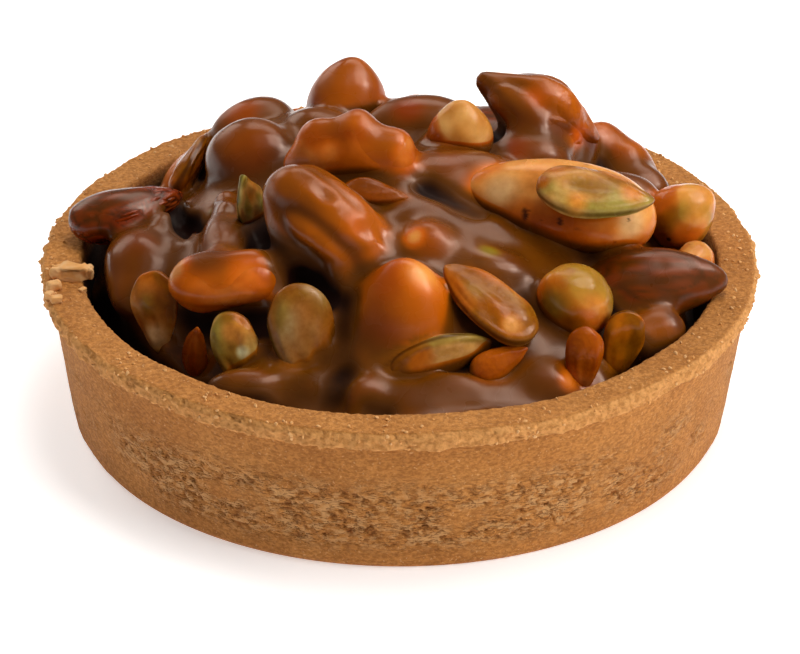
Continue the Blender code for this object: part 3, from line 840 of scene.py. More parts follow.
def shortcrust_material():
    """Baked shortcrust: sandy and matt, golden with darker patches, pale where the crumb is open."""
    material, add = material_nodes("baked_shortcrust")
    look = bpy.context.scene.tart_pastry
    place = add("ShaderNodeTexCoord").outputs["Object"]
    toast = add(NOISE, {"Vector": place, "Scale": 1 / (9 * MM), "Detail": 3.0})
    toast = add(RANGE, {0: toast, 1: 0.25, 2: 0.75, 4: 0.8}, **SMOOTH)
    crust = add(MIX, {0: toast, 6: look.golden, 7: look.toasted}, **BLEND)

    # Sugar and flour grains are about 0.2 mm: drawn at 0.55 mm, and flattened, so that they show
    flattened = add(VECTOR_MATH, {0: place, 1: (1.0, 1.0, 1.6)}, operation="MULTIPLY")
    grain_noise = {"Vector": flattened, "Scale": 1 / (0.55 * MM), "Detail": 3.0, "Roughness": 0.70}
    grains = add(NOISE, grain_noise)
    grain_share = add(RANGE, {0: grains, 1: 0.36, 2: 0.64}, **SMOOTH)
    dim = add(MIX, {0: 1.0, 6: crust, 7: (0.80, 0.76, 0.66)}, **TINT)
    bright = add(MIX, {0: 1.0, 6: crust, 7: (1.24, 1.30, 1.34)}, **TINT)
    crust = add(MIX, {0: grain_share, 6: dim, 7: bright}, **BLEND)
    pale = add(NOISE, {"Vector": place, "Scale": 1 / (0.32 * MM), "Detail": 1.0})
    pale = add(RANGE, {0: pale, 1: 0.64, 2: 0.78, 4: 0.45}, **SMOOTH)
    crust = add(MIX, {0: pale, 6: crust, 7: linear("e4b47c")}, **BLEND)

    # The lip is broken, so its open crumb shows
    lip = add(ATTRIBUTE, attribute_name="lip").outputs["Fac"]
    crumbly = add(NOISE, {"Vector": place, "Scale": 1 / (0.6 * MM)})
    crumbly = add(RANGE, {0: crumbly, 1: 0.35, 2: 0.65, 3: 0.30, 4: 0.95}, **SMOOTH)
    crumbly = add(MATH, {0: lip, 1: crumbly}, operation="MULTIPLY")
    crust = add(MIX, {0: crumbly, 6: crust, 7: look.crumb}, **BLEND)

    # Where the wall is pitted its open crumb is paler, and fine cracks and holes run between the pits
    pitted = add(ATTRIBUTE, attribute_name="pitted").outputs["Fac"]
    pit = add(ATTRIBUTE, attribute_name="pit").outputs["Fac"]
    flattened = add(VECTOR_MATH, {0: place, 1: (1.0, 1.0, 1.5)}, operation="MULTIPLY")
    mottle = add(NOISE, {"Vector": flattened, "Scale": 1 / (1.3 * MM)})
    mottle = add(RANGE, {0: mottle, 1: 0.42, 2: 0.64, 4: 0.6}, **SMOOTH)
    mottle = add(MATH, {0: mottle, 1: pitted}, operation="MULTIPLY")
    crust = add(MIX, {0: mottle, 6: crust, 7: linear("d0a068")}, **BLEND)
    # Painted shade darkens the pits
    crust = add(MIX, {0: pit, 6: crust, 7: look.pit}, **BLEND)
    flattened = add(VECTOR_MATH, {0: place, 1: (1.0, 1.0, 4.0)}, operation="MULTIPLY")
    crack_noise = {"Vector": flattened, "Scale": 1 / (2.0 * MM), "Detail": 3.0, "Roughness": 0.6}
    cracks = add(MATH, {0: add(NOISE, crack_noise), 1: 0.5}, operation="SUBTRACT")
    cracks = add(MATH, {0: cracks}, operation="ABSOLUTE")
    cracks = add(RANGE, {0: cracks, 1: 0.020, 2: 0.004}, **SMOOTH)
    flattened = add(VECTOR_MATH, {0: place, 1: (1.0, 1.0, 2.0)}, operation="MULTIPLY")
    holes = add(NOISE, {"Vector": flattened, "Scale": 1 / (0.9 * MM), "Detail": 1.0})
    holes = add(RANGE, {0: holes, 1: 0.66, 2: 0.71}, **SMOOTH)
    open_crumb = add(MATH, {0: cracks, 1: holes}, operation="MAXIMUM")
    open_crumb = add(MATH, {0: open_crumb, 1: pitted}, operation="MULTIPLY")
    # Painted shade: the cracks and holes are darkened to the pit colour
    dark_share = add(MATH, {0: open_crumb, 1: 0.7}, operation="MULTIPLY")
    crust = add(MIX, {0: dark_share, 6: crust, 7: look.pit}, **BLEND)
    whole = add(MATH, {0: 1.0, 1: open_crumb}, operation="SUBTRACT")

    # Caramel stain and painted shade down the inside of the wall
    crust = add(MIX, {0: soaked_and_shaded_share(add, place), 6: crust, 7: look.soaked}, **BLEND)
    crumb_noise = {"Vector": place, "Scale": 1 / (0.30 * MM), "Detail": 3.0, "Roughness": 0.6}
    bumps = [(grains, 0.18 * MM), (add(NOISE, crumb_noise), 0.08 * MM), (whole, 0.16 * MM)]
    finish_surface(add, crust, 0.82, bumps, DRY)
    return material


def crumb_material():
    """Loose crumbs of shortcrust: dry and pale, as they broke off the baked skin."""
    material, add = material_nodes("shortcrust_crumb")
    look = bpy.context.scene.tart_pastry
    place = add("ShaderNodeTexCoord").outputs["Object"]
    speckle = add(NOISE, {"Vector": place, "Scale": 1 / (1.2 * MM)})
    speckle = add(RANGE, {0: speckle, 1: 0.35, 2: 0.65}, **SMOOTH)
    crust = add(MIX, {0: speckle, 6: linear("dcaa72"), 7: look.crumb}, **BLEND)
    # Crumb is as sandy as the crust: drawn at 0.3 mm so that the grains show
    grain_noise = {"Vector": place, "Scale": 1 / (0.3 * MM), "Detail": 3.0, "Roughness": 0.6}
    finish_surface(add, crust, 0.85, [(add(NOISE, grain_noise), 0.02 * MM)], DRY)
    return material


# The pastry shell, turned by Geometry Nodes


def inner_radius(height):
    """The radius of the wall's inside at a height."""
    return BASE_RADIUS + WALL_LEAN * height - WALL


def section_corners():
    """The shell's section from the floor's middle over the rim to the base's middle.

    Each corner is its radius and height, the step to it, and how far it is lip and outer wall."""
    lip_bottom = RIM_HEIGHT - LIP_DEPTH
    under_lip = inner_radius(lip_bottom) + WALL
    return [
        (0.0, FLOOR, 0.0, 0, 0),
        (inner_radius(FLOOR) - 1.5 * MM, FLOOR, 5.0 * MM, 0, 0),
        (inner_radius(FLOOR) + 0.2 * MM, FLOOR + 1.5 * MM, 1.0 * MM, 0, 0),
        (inner_radius(13 * MM), 13 * MM, 1.2 * MM, 0, 0),
        (inner_radius(RIM_HEIGHT), RIM_HEIGHT - 0.2 * MM, 0.5 * MM, 0, 0),
        (inner_radius(RIM_HEIGHT) + 0.3 * MM, RIM_HEIGHT, 0.3 * MM, 0, 0),
        (RIM_RADIUS - 1.5 * MM, RIM_HEIGHT, 0.38 * MM, 0, 0),
        (RIM_RADIUS - 0.5 * MM, RIM_HEIGHT + 0.05 * MM, 0.28 * MM, 0, 0),
        (RIM_RADIUS, RIM_HEIGHT - 0.5 * MM, 0.28 * MM, 1, 0),
        (RIM_RADIUS - 0.1 * MM, lip_bottom, 0.28 * MM, 1, 0),
        (under_lip, lip_bottom - 0.2 * MM, 0.3 * MM, 0, 1),
        (BASE_RADIUS + 0.1 * MM, 0.9 * MM, 0.36 * MM, 0, 1),
        (BASE_RADIUS - 0.3 * MM, 0.25 * MM, 0.36 * MM, 0, 0),
        (BASE_RADIUS - 1.0 * MM, 0.0, 0.4 * MM, 0, 0),
        (0.0, 0.0, 5.0 * MM, 0, 0),
    ]


def section_mesh():
    """The section as a line of close points in the XZ plane, with its lip and wall shares."""
    rows = [section_corners()[0]]
    for start, end in itertools.pairwise(section_corners()):
        run = math.dist(start[:2], end[:2])
        count = max(1, round(run / end[2]))
        for i in range(1, count + 1):
            share = i / count
            radius, height = (start[axis] + (end[axis] - start[axis]) * share for axis in (0, 1))
            rows.append((radius, height, 0, end[3], end[4]))
    rows = np.array(rows, float)
    mesh = bpy.data.meshes.new("shell_section")
    points = np.stack((rows[:, 0], np.zeros(len(rows)), rows[:, 1]), 1)
    mesh.from_pydata(points.tolist(), [(i, i + 1) for i in range(len(rows) - 1)], [])
    set_numbers(mesh, "lip_share", rows[:, 3])
    set_numbers(mesh, "wall_share", rows[:, 4])
    return mesh


# The kinds of node that recur in the Geometry Nodes trees, and their settings
NAMED = "GeometryNodeInputNamedAttribute"
SAMPLE = "GeometryNodeSampleIndex"
STORE = "GeometryNodeStoreNamedAttribute"
MOVE = "GeometryNodeSetPosition"
JOIN = "ShaderNodeCombineXYZ"
FLOATS = {"data_type": "FLOAT", "domain": "POINT"}
VECTORS = {"data_type": "FLOAT_VECTOR", "domain": "POINT"}


def new_tree(name, sizes):
    """A Geometry Nodes tree with a geometry in and out and an input for each size, what adds a node to
    it, and the sockets that bring what it is given."""
    tree = bpy.data.node_groups.new(name, "GeometryNodeTree")
    tree.interface.new_socket(name="Geometry", in_out="INPUT", socket_type="NodeSocketGeometry")
    tree.interface.new_socket(name="Geometry", in_out="OUTPUT", socket_type="NodeSocketGeometry")
    for size, kind in sizes.items():
        tree.interface.new_socket(name=size, in_out="INPUT", socket_type=f"NodeSocket{kind}")
    add = functools.partial(add_node, tree)
    return tree, add, add("NodeGroupInput").outputs


def finish_tree(add, shape, material):
    """Ends a tree: the instances are made real and the material is set."""
    real = add("GeometryNodeRealizeInstances", {"Geometry": shape})
    smooth = add("GeometryNodeSetShadeSmooth", {"Geometry": real})
    dressed = add("GeometryNodeSetMaterial", {"Geometry": smooth, "Material": material})
    add("NodeGroupOutput", {0: dressed})


def grown_mesh(name, source, tree, values):
    """Runs a tree on a mesh with its inputs set, and returns the plain mesh that it makes."""
    helper = bpy.data.objects.new(f"{name}_source", source)
    bpy.context.scene.collection.objects.link(helper)
    modifier = helper.modifiers.new("grow", "NODES")
    modifier.node_group = tree
    identifiers = {s.name: s.identifier for s in tree.interface.items_tree if s.in_out == "INPUT"}
    for size, value in values.items():
        modifier[identifiers[size]] = value
    graph = bpy.context.evaluated_depsgraph_get()
    made = bpy.data.meshes.new_from_object(helper.evaluated_get(graph), depsgraph=graph)
    bpy.data.objects.remove(helper)
    return made


# Points closer than this are one, where the turned section meets itself
SEAM = 0.01 * MM


def turned_section(add, given):
    """Turns the section about the axis: a grid is bent round, each row at a point of the section."""
    steps = add(MATH, {0: given["Steps"], 1: 1}, operation="ADD")
    grid = {"Size X": 1.0, "Size Y": 1.0, "Vertices X": given["Rows"], "Vertices Y": steps}
    shape = add("GeometryNodeMeshGrid", grid)
    here = add("GeometryNodeInputPosition")
    x, y, _ = add(SPLIT, {0: here}).outputs
    last_row = add(MATH, {0: given["Rows"], 1: 1}, operation="SUBTRACT")
    row = add(MATH, {0: x, 1: 0.5}, operation="ADD")
    row = add(MATH, {0: row, 1: last_row}, operation="MULTIPLY")
    row = add(MATH, {0: row}, operation="ROUND")
    angle = add(MATH, {0: y, 1: 0.25}, operation="ADD")
    angle = add(MATH, {0: angle, 1: 2 * math.pi}, operation="MULTIPLY")
    section = {"Geometry": given["Geometry"], "Index": row}
    for share in ("lip", "wall"):
        found = add(NAMED, {"Name": f"{share}_share"}, data_type="FLOAT")
        found = add(SAMPLE, {**section, "Value": found}, **FLOATS)
        shape = add(STORE, {"Geometry": shape, "Name": share, "Value": found}, **FLOATS)
    place = add(SAMPLE, {**section, "Value": here}, **VECTORS)
    radius, _, height = add(SPLIT, {0: place}).outputs
    cosine = add(MATH, {0: angle}, operation="COSINE")
    sine = add(MATH, {0: angle}, operation="SINE")
    x = add(MATH, {0: radius, 1: cosine}, operation="MULTIPLY")
    y = add(MATH, {0: radius, 1: sine}, operation="MULTIPLY")
    turned = add(JOIN, {0: x, 1: y, 2: height})
    shape = add(MOVE, {"Geometry": shape, "Position": turned})
    return add("GeometryNodeMergeByDistance", {"Geometry": shape, "Distance": SEAM})


def waved_and_torn(add, given, shape):
    """Lets the rim rise and fall, and tears the lip."""
    here = add("GeometryNodeInputPosition")
    height = add(SPLIT, {0: here}).outputs["Z"]

    # The rim rises and falls gently, and its whole top goes with it
    near_rim = {0: height, 1: RIM_HEIGHT - 4 * MM, 2: RIM_HEIGHT - LIP_DEPTH}
    near_rim = add(RANGE, near_rim, **SMOOTH)
    swell = add(NOISE, {"Vector": here, "Scale": 1 / (16 * MM), "Detail": 1.0})
    swell = add(MATH, {0: swell, 1: 0.5}, operation="SUBTRACT")
    for factor in (near_rim, given["Rim wave"], 3.0):
        swell = add(MATH, {0: swell, 1: factor}, operation="MULTIPLY")
    shape = add(MOVE, {"Geometry": shape, "Offset": add(JOIN, {2: swell})})

    # The lip is torn: it sinks back in bites and stands out in crumbs
    bites = add(NOISE, {"Vector": here, "Scale": 1 / (4.5 * MM)})
    bites = add(MATH, {0: bites, 1: 0.56}, operation="SUBTRACT")
    crumbs = add(NOISE, {"Vector": here, "Scale": 1 / (0.70 * MM), "Roughness": 0.6})
    crumbs = add(MATH, {0: crumbs, 1: 0.5}, operation="SUBTRACT")
    torn = add(MATH, {0: bites, 1: crumbs}, operation="ADD")
    lip = add(NAMED, {"Name": "lip"}, data_type="FLOAT")
    for factor in (given["Lip crumble"], 2.4, lip):
        torn = add(MATH, {0: torn, 1: factor}, operation="MULTIPLY")
    outwards = {0: add("GeometryNodeInputNormal"), "Scale": torn}
    outwards = add(VECTOR_MATH, outwards, operation="SCALE")
    return add(MOVE, {"Geometry": shape, "Offset": outwards})


def pitted_wall(add, given, shape):
    """Pits and cracks the wall, and makes the wall and the rim sandy."""
    here = add("GeometryNodeInputPosition")
    out = add("GeometryNodeInputNormal")
    _, y, height = add(SPLIT, {0: here}).outputs
    wall = add(NAMED, {"Name": "wall"}, data_type="FLOAT")

    # The pits lie in patches below the wall's middle, most at the front
    front = add(RANGE, {0: y, 1: -20 * MM, 2: -36 * MM, 4: 0.16}, **SMOOTH)
    flattened = add(VECTOR_MATH, {0: here, 1: (1.0, 1.0, 1.6)}, operation="MULTIPLY")
    patches = add(NOISE, {"Vector": flattened, "Scale": 1 / (9 * MM), "Detail": 1.0})
    patches = add(MATH, {0: patches, 1: front}, operation="ADD")
    patches = add(RANGE, {0: patches, 1: 0.44, 2: 0.66}, **SMOOTH)
    where = add(RANGE, {0: height, 1: 14 * MM, 2: 9 * MM}, **SMOOTH)
    above_base = add(RANGE, {0: height, 1: 1.5 * MM, 2: 4.5 * MM}, **SMOOTH)
    for share in (above_base, patches, wall):
        where = add(MATH, {0: where, 1: share}, operation="MULTIPLY")

    # Pits and cracks run sideways round the wall
    sideways = add(VECTOR_MATH, {0: here, 1: (1.0, 1.0, 3.0)}, operation="MULTIPLY")
    pits = add(NOISE, {"Vector": sideways, "Scale": 1 / (1.7 * MM), "Detail": 1.0})
    pits = add(RANGE, {0: pits, 1: 0.665, 2: 0.71}, **SMOOTH)
    cracks = add(NOISE, {"Vector": sideways, "Scale": 1 / (3.0 * MM), "Roughness": 0.6})
    cracks = add(MATH, {0: cracks, 1: 0.5}, operation="SUBTRACT")
    cracks = add(MATH, {0: cracks}, operation="ABSOLUTE")
    cracks = add(RANGE, {0: cracks, 1: 0.010, 2: 0.002}, **SMOOTH)
    pit = add(MATH, {0: cracks, 1: pits}, operation="MAXIMUM")
    pit = add(MATH, {0: pit, 1: where}, operation="MULTIPLY")
    shape = add(STORE, {"Geometry": shape, "Name": "pit", "Value": pit}, **FLOATS)
    shape = add(STORE, {"Geometry": shape, "Name": "pitted", "Value": where}, **FLOATS)

    # The rim's top is sandy
    rim = {0: height, 1: RIM_HEIGHT - LIP_DEPTH, 2: RIM_HEIGHT - 0.5 * MM}
    rim = add(RANGE, rim, **SMOOTH)
    sand = add(NOISE, {"Vector": here, "Scale": 1 / (0.8 * MM), "Roughness": 0.6})
    sand = add(MATH, {0: sand, 1: 0.5}, operation="SUBTRACT")
    for factor in (rim, 0.45 * MM):
        sand = add(MATH, {0: sand, 1: factor}, operation="MULTIPLY")
    outwards = add(VECTOR_MATH, {0: out, "Scale": sand}, operation="SCALE")
    shape = add(MOVE, {"Geometry": shape, "Offset": outwards})

    # The wall is grainy and softly uneven, and its pits go in
    grain = add(NOISE, {"Vector": here, "Scale": 1 / (0.9 * MM)})
    grain = add(MATH, {0: grain, 1: 0.5}, operation="SUBTRACT")
    grain = add(MATH, {0: grain, 1: 0.12 * MM}, operation="MULTIPLY")
    soft = add(NOISE, {"Vector": here, "Scale": 1 / (8 * MM), "Detail": 1.0})
    soft = add(MATH, {0: soft, 1: 0.5}, operation="SUBTRACT")
    soft = add(MATH, {0: soft, 1: 0.5 * MM}, operation="MULTIPLY")
    rough = add(MATH, {0: grain, 1: soft}, operation="ADD")
    rough = add(MATH, {0: rough, 1: wall}, operation="MULTIPLY")
    deep = add(NAMED, {"Name": "pit"}, data_type="FLOAT")
    deep = add(MATH, {0: deep, 1: given["Pit depth"]}, operation="MULTIPLY")
    rough = add(MATH, {0: rough, 1: deep}, operation="SUBTRACT")
    outwards = add(VECTOR_MATH, {0: out, "Scale": rough}, operation="SCALE")
    return add(MOVE, {"Geometry": shape, "Offset": outwards})


def shell_tree(material):
    """Turns the section about the axis, then gives the crust its waves, crumbs, pits and cracks."""
    sizes = {"Rows": "Int", "Steps": "Int"}
    sizes |= {"Rim wave": "Float", "Lip crumble": "Float", "Pit depth": "Float"}
    tree, add, given = new_tree("Turned pastry shell", sizes)
    shape = turned_section(add, given)
    shape = waved_and_torn(add, given, shape)
    shape = pitted_wall(add, given, shape)
    finish_tree(add, shape, material)
    return tree


# Into how many steps the shell's turn is divided
SHELL_STEPS = 740


class TART_OT_pastry_shell(bpy.types.Operator):
    """Turns the baked shell from its section and gives it its crust"""

    bl_idname = "tart.pastry_shell"
    bl_label = "Pastry shell"

    def execute(self, context):
        look = context.scene.tart_pastry
        material = shortcrust_material()
        section = section_mesh()
        values = {
            "Rows": len(section.vertices),
            "Steps": SHELL_STEPS,
            "Rim wave": look.rim_wave,
            "Lip crumble": look.lip_crumble,
            "Pit depth": look.pit_depth,
        }
        mesh = grown_mesh("pastry_shell", section, shell_tree(material), values)
        shell = new_object("shortcrust_shell", mesh, material)
        make_faces_point_out(shell.data)
        finish_piece(shell, ["pastry_shell"])
        return {"FINISHED"}


def make_faces_point_out(mesh):
    shape = bmesh.new()
    shape.from_mesh(mesh)
    bmesh.ops.recalc_face_normals(shape, faces=shape.faces)
    shape.to_mesh(mesh)
    shape.free()


def finish_piece(piece, nodes):
    """Ties a finished piece to the frame: its body and the solids that it stands for."""
    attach(piece, "root")
    if nodes:
        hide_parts(*nodes)


# Crumbs on the rim, scattered by Geometry Nodes, and the few large ones that the photo shows


# The most that a crumb is turned about each axis, in radians
FULL_TURN = 6.28


def crumb_tree(material):
    """Scatters small crumbs over the rim and lip of the shell that it is given."""
    sizes = {"Density": "Float", "Crumb size": "Float", "Seed": "Int"}
    tree, add, given = new_tree("Crumbs on the rim", sizes)
    here = add("GeometryNodeInputPosition")

    # They lie in clumps on the rim's top and down the lip
    x, y, z = add(SPLIT, {0: here}).outputs
    rim_start = RIM_RADIUS - WALL - LIP_OVERHANG + 0.5 * MM
    outer = add(MATH, {0: from_axis(add, x, y), 1: rim_start}, operation="GREATER_THAN")
    high = add(MATH, {0: z, 1: RIM_HEIGHT - LIP_DEPTH}, operation="GREATER_THAN")
    clumps = add(NOISE, {"Vector": here, "Scale": 1 / (5 * MM), "Detail": 1.0})
    clumps = add(RANGE, {0: clumps, 1: 0.42, 2: 0.60, 3: 0.15}, **SMOOTH)
    for factor in (high, clumps, given["Density"]):
        outer = add(MATH, {0: outer, 1: factor}, operation="MULTIPLY")
    scatter = {"Mesh": given["Geometry"], "Density": outer, "Seed": given["Seed"]}
    points = add("GeometryNodeDistributePointsOnFaces", scatter)

    # A crumb is a small lumpy ball, stretched and turned at random
    ball = add("GeometryNodeMeshIcoSphere", {"Radius": 0.5, "Subdivisions": 2})
    lumps = add(NOISE, {"Vector": here, "Scale": 1 / 0.55})
    lumps = add(MATH, {0: lumps, 1: 0.5}, operation="SUBTRACT")
    lumps = add(MATH, {0: lumps, 1: 0.7}, operation="MULTIPLY")
    outwards = {0: add("GeometryNodeInputNormal"), "Scale": lumps}
    outwards = add(VECTOR_MATH, outwards, operation="SCALE")
    ball = add(MOVE, {"Geometry": ball, "Offset": outwards})
    turns = {0: (0.0,) * 3, 1: (FULL_TURN,) * 3, "Seed": given["Seed"]}
    turns = add("FunctionNodeRandomValue", turns, data_type="FLOAT_VECTOR")
    spread = {0: (0.5, 0.5, 0.4), 1: (1.5, 1.1, 0.9), "Seed": given["Seed"]}
    spread = add("FunctionNodeRandomValue", spread, data_type="FLOAT_VECTOR")
    widths = {0: spread, "Scale": given["Crumb size"]}
    widths = add(VECTOR_MATH, widths, operation="SCALE")
    crumbs = {"Points": points, "Instance": ball, "Rotation": turns, "Scale": widths}
    crumbs = add("GeometryNodeInstanceOnPoints", crumbs)
    finish_tree(add, crumbs, material)
    return tree


# The large crumbs at the left of the rim: middle and full size in millimetres, and turn in degrees
LARGE_CRUMBS = (
    ((-38.3, -6.6, 20.2), (5.0, 1.7, 1.7), -4),
    ((-40.3, -9.3, 19.8), (1.5, 1.1, 1.0), 30),
    ((-40.6, -11.4, 19.7), (1.1, 0.9, 0.9), 70),
    ((-39.6, -12.4, 19.7), (1.3, 0.9, 0.8), 10),
    ((-36.9, -9.6, 19.4), (0.9, 0.7, 0.6), 50),
)


class TART_OT_crumbs(bpy.types.Operator):
    """Scatters crumbs over the shell's rim and lays the large ones"""

    bl_idname = "tart.crumbs"
    bl_label = "Crumbs"

    def execute(self, context):
        look = context.scene.tart_crumbs
        shell = bpy.data.objects.get("shortcrust_shell")
        if not shell:
            raise RuntimeError("The crumbs lie on the pastry shell: make it first")
        material = crumb_material()
        values = {"Density": look.density, "Crumb size": look.size, "Seed": look.seed}
        scattered = grown_mesh("rim_crumbs", shell.data.copy(), crumb_tree(material), values)
        finish_piece(new_object("rim_crumbs", scattered, material), [])
        for index, (middle, size, turn) in enumerate(LARGE_CRUMBS):
            size = np.array(size) * MM
            points, faces = large_crumb(np.array(middle) * MM, size, math.radians(turn), index)
            mesh = mesh_from(f"large_crumb_{index}", points, faces)
            finish_piece(new_object(f"large_crumb_{index}", mesh, material), [])
        return {"FINISHED"}


def large_crumb(middle, size, turn, seed):
    """A broken bit of crust: its points, blocky and rough, and its faces."""
    unit, faces = fine_ball(5)
    shape = np.sign(unit) * np.abs(unit) ** 0.32 * size / 2
    rough = SoftNoise(seed + 60, 0.9 * MM)(shape + 1.0)
    rough = rough + 0.6 * SoftNoise(seed + 70, 0.35 * MM)(shape + 1.0)
    shape += unit * (0.20 * size.min() * rough)[:, None]
    cosine, sine = math.cos(turn), math.sin(turn)
    across = np.array(((cosine, -sine, 0), (sine, cosine, 0), (0, 0, 1)))
    return shape @ across.T + middle, faces


# Nuts and seeds


def make_nuts(kind_name):
    """Makes every nut of a kind, each in place of its solid."""
    material = glazed_material(*GLAZED[kind_name])
    look = bpy.context.scene.tart_caramel
    made = heap(look.fillet, look.voxel)
    for node in NUT_NODES:
        if SLOTS[node] != kind_name:
            continue
        nut = Nut(node)
        points, unit, faces = nut.surface()
        mesh = mesh_from(f"glazed_{node}", points, faces)
        skin, film = patched(points, nut.skin_at(unit), nut.glaze_at(points))
        # Painted shade in the hollows of the heap, counted into the nut's film
        film += painted_hollow_shade(made, points)
        for owner, middle, half in SPECKS:
            if owner == node:
                offset = (points - np.array(middle) * MM) / (np.array(half) * MM)
                share = smooth_step(np.linalg.norm(offset, axis=1), 1.2, 0.7)
                skin = blend_colours(skin, linear("2c1204"), 0.9 * share)
        set_colours(mesh, "skin", skin)
        set_numbers(mesh, "film", film)
        set_places(mesh, "own_place", nut.local(points))
        piece = new_object(f"glazed_{node}", mesh, material)
        finish_piece(piece, [node])


class NutOperator:
    """What the operators of all kinds of nut share. Each names its kind."""

    def execute(self, context):
        make_nuts(self.kind_name)
        return {"FINISHED"}


class TART_OT_almonds(NutOperator, bpy.types.Operator):
    """Makes the almonds in their roasted skins"""

    bl_idname = "tart.almonds"
    bl_label = "Almonds"
    kind_name = "almond"


class TART_OT_blanched_almonds(NutOperator, bpy.types.Operator):
    """Makes the blanched almonds"""

    bl_idname = "tart.blanched_almonds"
    bl_label = "Blanched almonds"
    kind_name = "blanched_almond"


class TART_OT_hazelnuts(NutOperator, bpy.types.Operator):
    """Makes the skinned hazelnuts"""

    bl_idname = "tart.hazelnuts"
    bl_label = "Hazelnuts"
    kind_name = "hazelnut"


class TART_OT_cashews(NutOperator, bpy.types.Operator):
    """Makes the cashews"""

    bl_idname = "tart.cashews"
    bl_label = "Cashews"
    kind_name = "cashew"


class TART_OT_peanuts(NutOperator, bpy.types.Operator):
    """Makes the peanuts"""

    bl_idname = "tart.peanuts"
    bl_label = "Peanuts"
    kind_name = "peanut"


class TART_OT_pumpkin_seeds(NutOperator, bpy.types.Operator):
    """Makes the pumpkin seeds"""

    bl_idname = "tart.pumpkin_seeds"
    bl_label = "Pumpkin seeds"
    kind_name = "pumpkin_seed"


class TART_OT_sunflower_seeds(NutOperator, bpy.types.Operator):
    """Makes the sunflower seeds"""

    bl_idname = "tart.sunflower_seeds"
    bl_label = "Sunflower seeds"
    kind_name = "sunflower_seed"


class TART_OT_walnuts(NutOperator, bpy.types.Operator):
    """Makes the walnut pieces"""

    bl_idname = "tart.walnuts"
    bl_label = "Walnuts"
    kind_name = "walnut"


# The caramel

# Where the caramel stands away from the wall: from and to this angle in degrees, and the gap's width
# in millimetres
WALL_GAPS = ((180, 268, 3.4), (312, 342, 2.4), (340, 376, 1.6), (98, 150, 2.2))

# Gaps between the nuts that the caramel doesn't fill: start, end and half their width in millimetres
CREVICES = (
    ((-16.6, -5.4, 28.0), (-14.4, -13.6, 26.2), 1.5),
    ((-14.4, -13.6, 26.2), (-9.2, -20.0, 24.6), 1.9),
    ((-6.6, -21.4, 25.0), (-7.6, -28.4, 21.2), 1.0),
    ((-28.5, -13.4, 20.4), (-21.6, -20.4, 20.4), 1.5),
    ((-21.6, -20.4, 20.4), (-15.4, -22.2, 21.8), 1.2),
    ((-25.4, -17.6, 19.4), (-23.8, -22.6, 17.6), 1.1),
    ((-28.4, 8.0, 21.0), (-24.0, -2.0, 22.6), 1.5),
    ((-15.6, -8.8, 25.8), (-16.4, -13.4, 24.8), 1.0),
    ((-6.8, -29.6, 20.0), (-8.4, -32.6, 18.4), 1.3),
    ((-12.4, -31.4, 18.2), (-8.4, -32.8, 18.2), 0.9),
    ((-3.2, -34.4, 17.8), (-2.0, -34.6, 17.6), 0.5),
    ((6.4, -27.6, 20.8), (11.0, -27.4, 20.6), 0.7),
    ((23.2, -16.4, 21.2), (27.0, -21.4, 17.4), 1.0),
    ((29.2, -2.4, 19.8), (33.4, -1.2, 17.6), 1.0),
    ((3.4, -4.4, 30.4), (8.6, -7.2, 29.6), 0.9),
)

# Nuts that the caramel covers whole: middle and half size in millimetres
LUMPS = (
    ((-17.4, -28.6, 16.8), (4.4, 2.6, 2.6)),
    ((-4.6, -31.4, 17.8), (2.0, 1.8, 2.0)),
    ((5.4, 0.6, 28.8), (3.2, 3.4, 2.4)),
    ((-31.0, -8.6, 18.6), (2.8, 4.6, 2.4)),
)

# Threads and runs of caramel between the nuts: start, end and half their width in millimetres
STRANDS = (
    ((-28.4, 1.6, 21.6), (-25.2, -5.4, 22.6), 0.45),
    ((-24.4, -3.0, 23.4), (-22.0, -9.4, 23.6), 0.40),
    ((-20.4, 1.0, 25.6), (-19.2, -10.4, 25.2), 1.5),
    ((-15.0, -8.2, 27.6), (-12.4, -15.6, 26.0), 0.35),
    ((-19.4, -9.0, 25.4), (-20.4, -13.0, 26.2), 1.3),
    # The pad that holds the top seed on the blanched almond
    ((18.2, -6.8, 30.6), (22.4, -7.0, 30.4), 1.2),
    ((22.4, -7.0, 30.4), (26.2, -6.8, 29.8), 1.1),
)

# Distances are worked out this many voxels away from a surface
BAND = 8
# How far the solid mound's facets are smoothed, and how far round it the caramel levels out
BODY_SOFTNESS = 0.9 * MM
POOLING = 1.9 * MM

# A hollow is where more than half of the room this far around is filled. From the first share to the
# second painted shade is counted into the film there, up to this many millimetres.
HOLLOW_REACH = 2.4 * MM
HOLLOW_SHARES = (0.54, 0.84)
HOLLOW_SHADE_FILM = 7.0


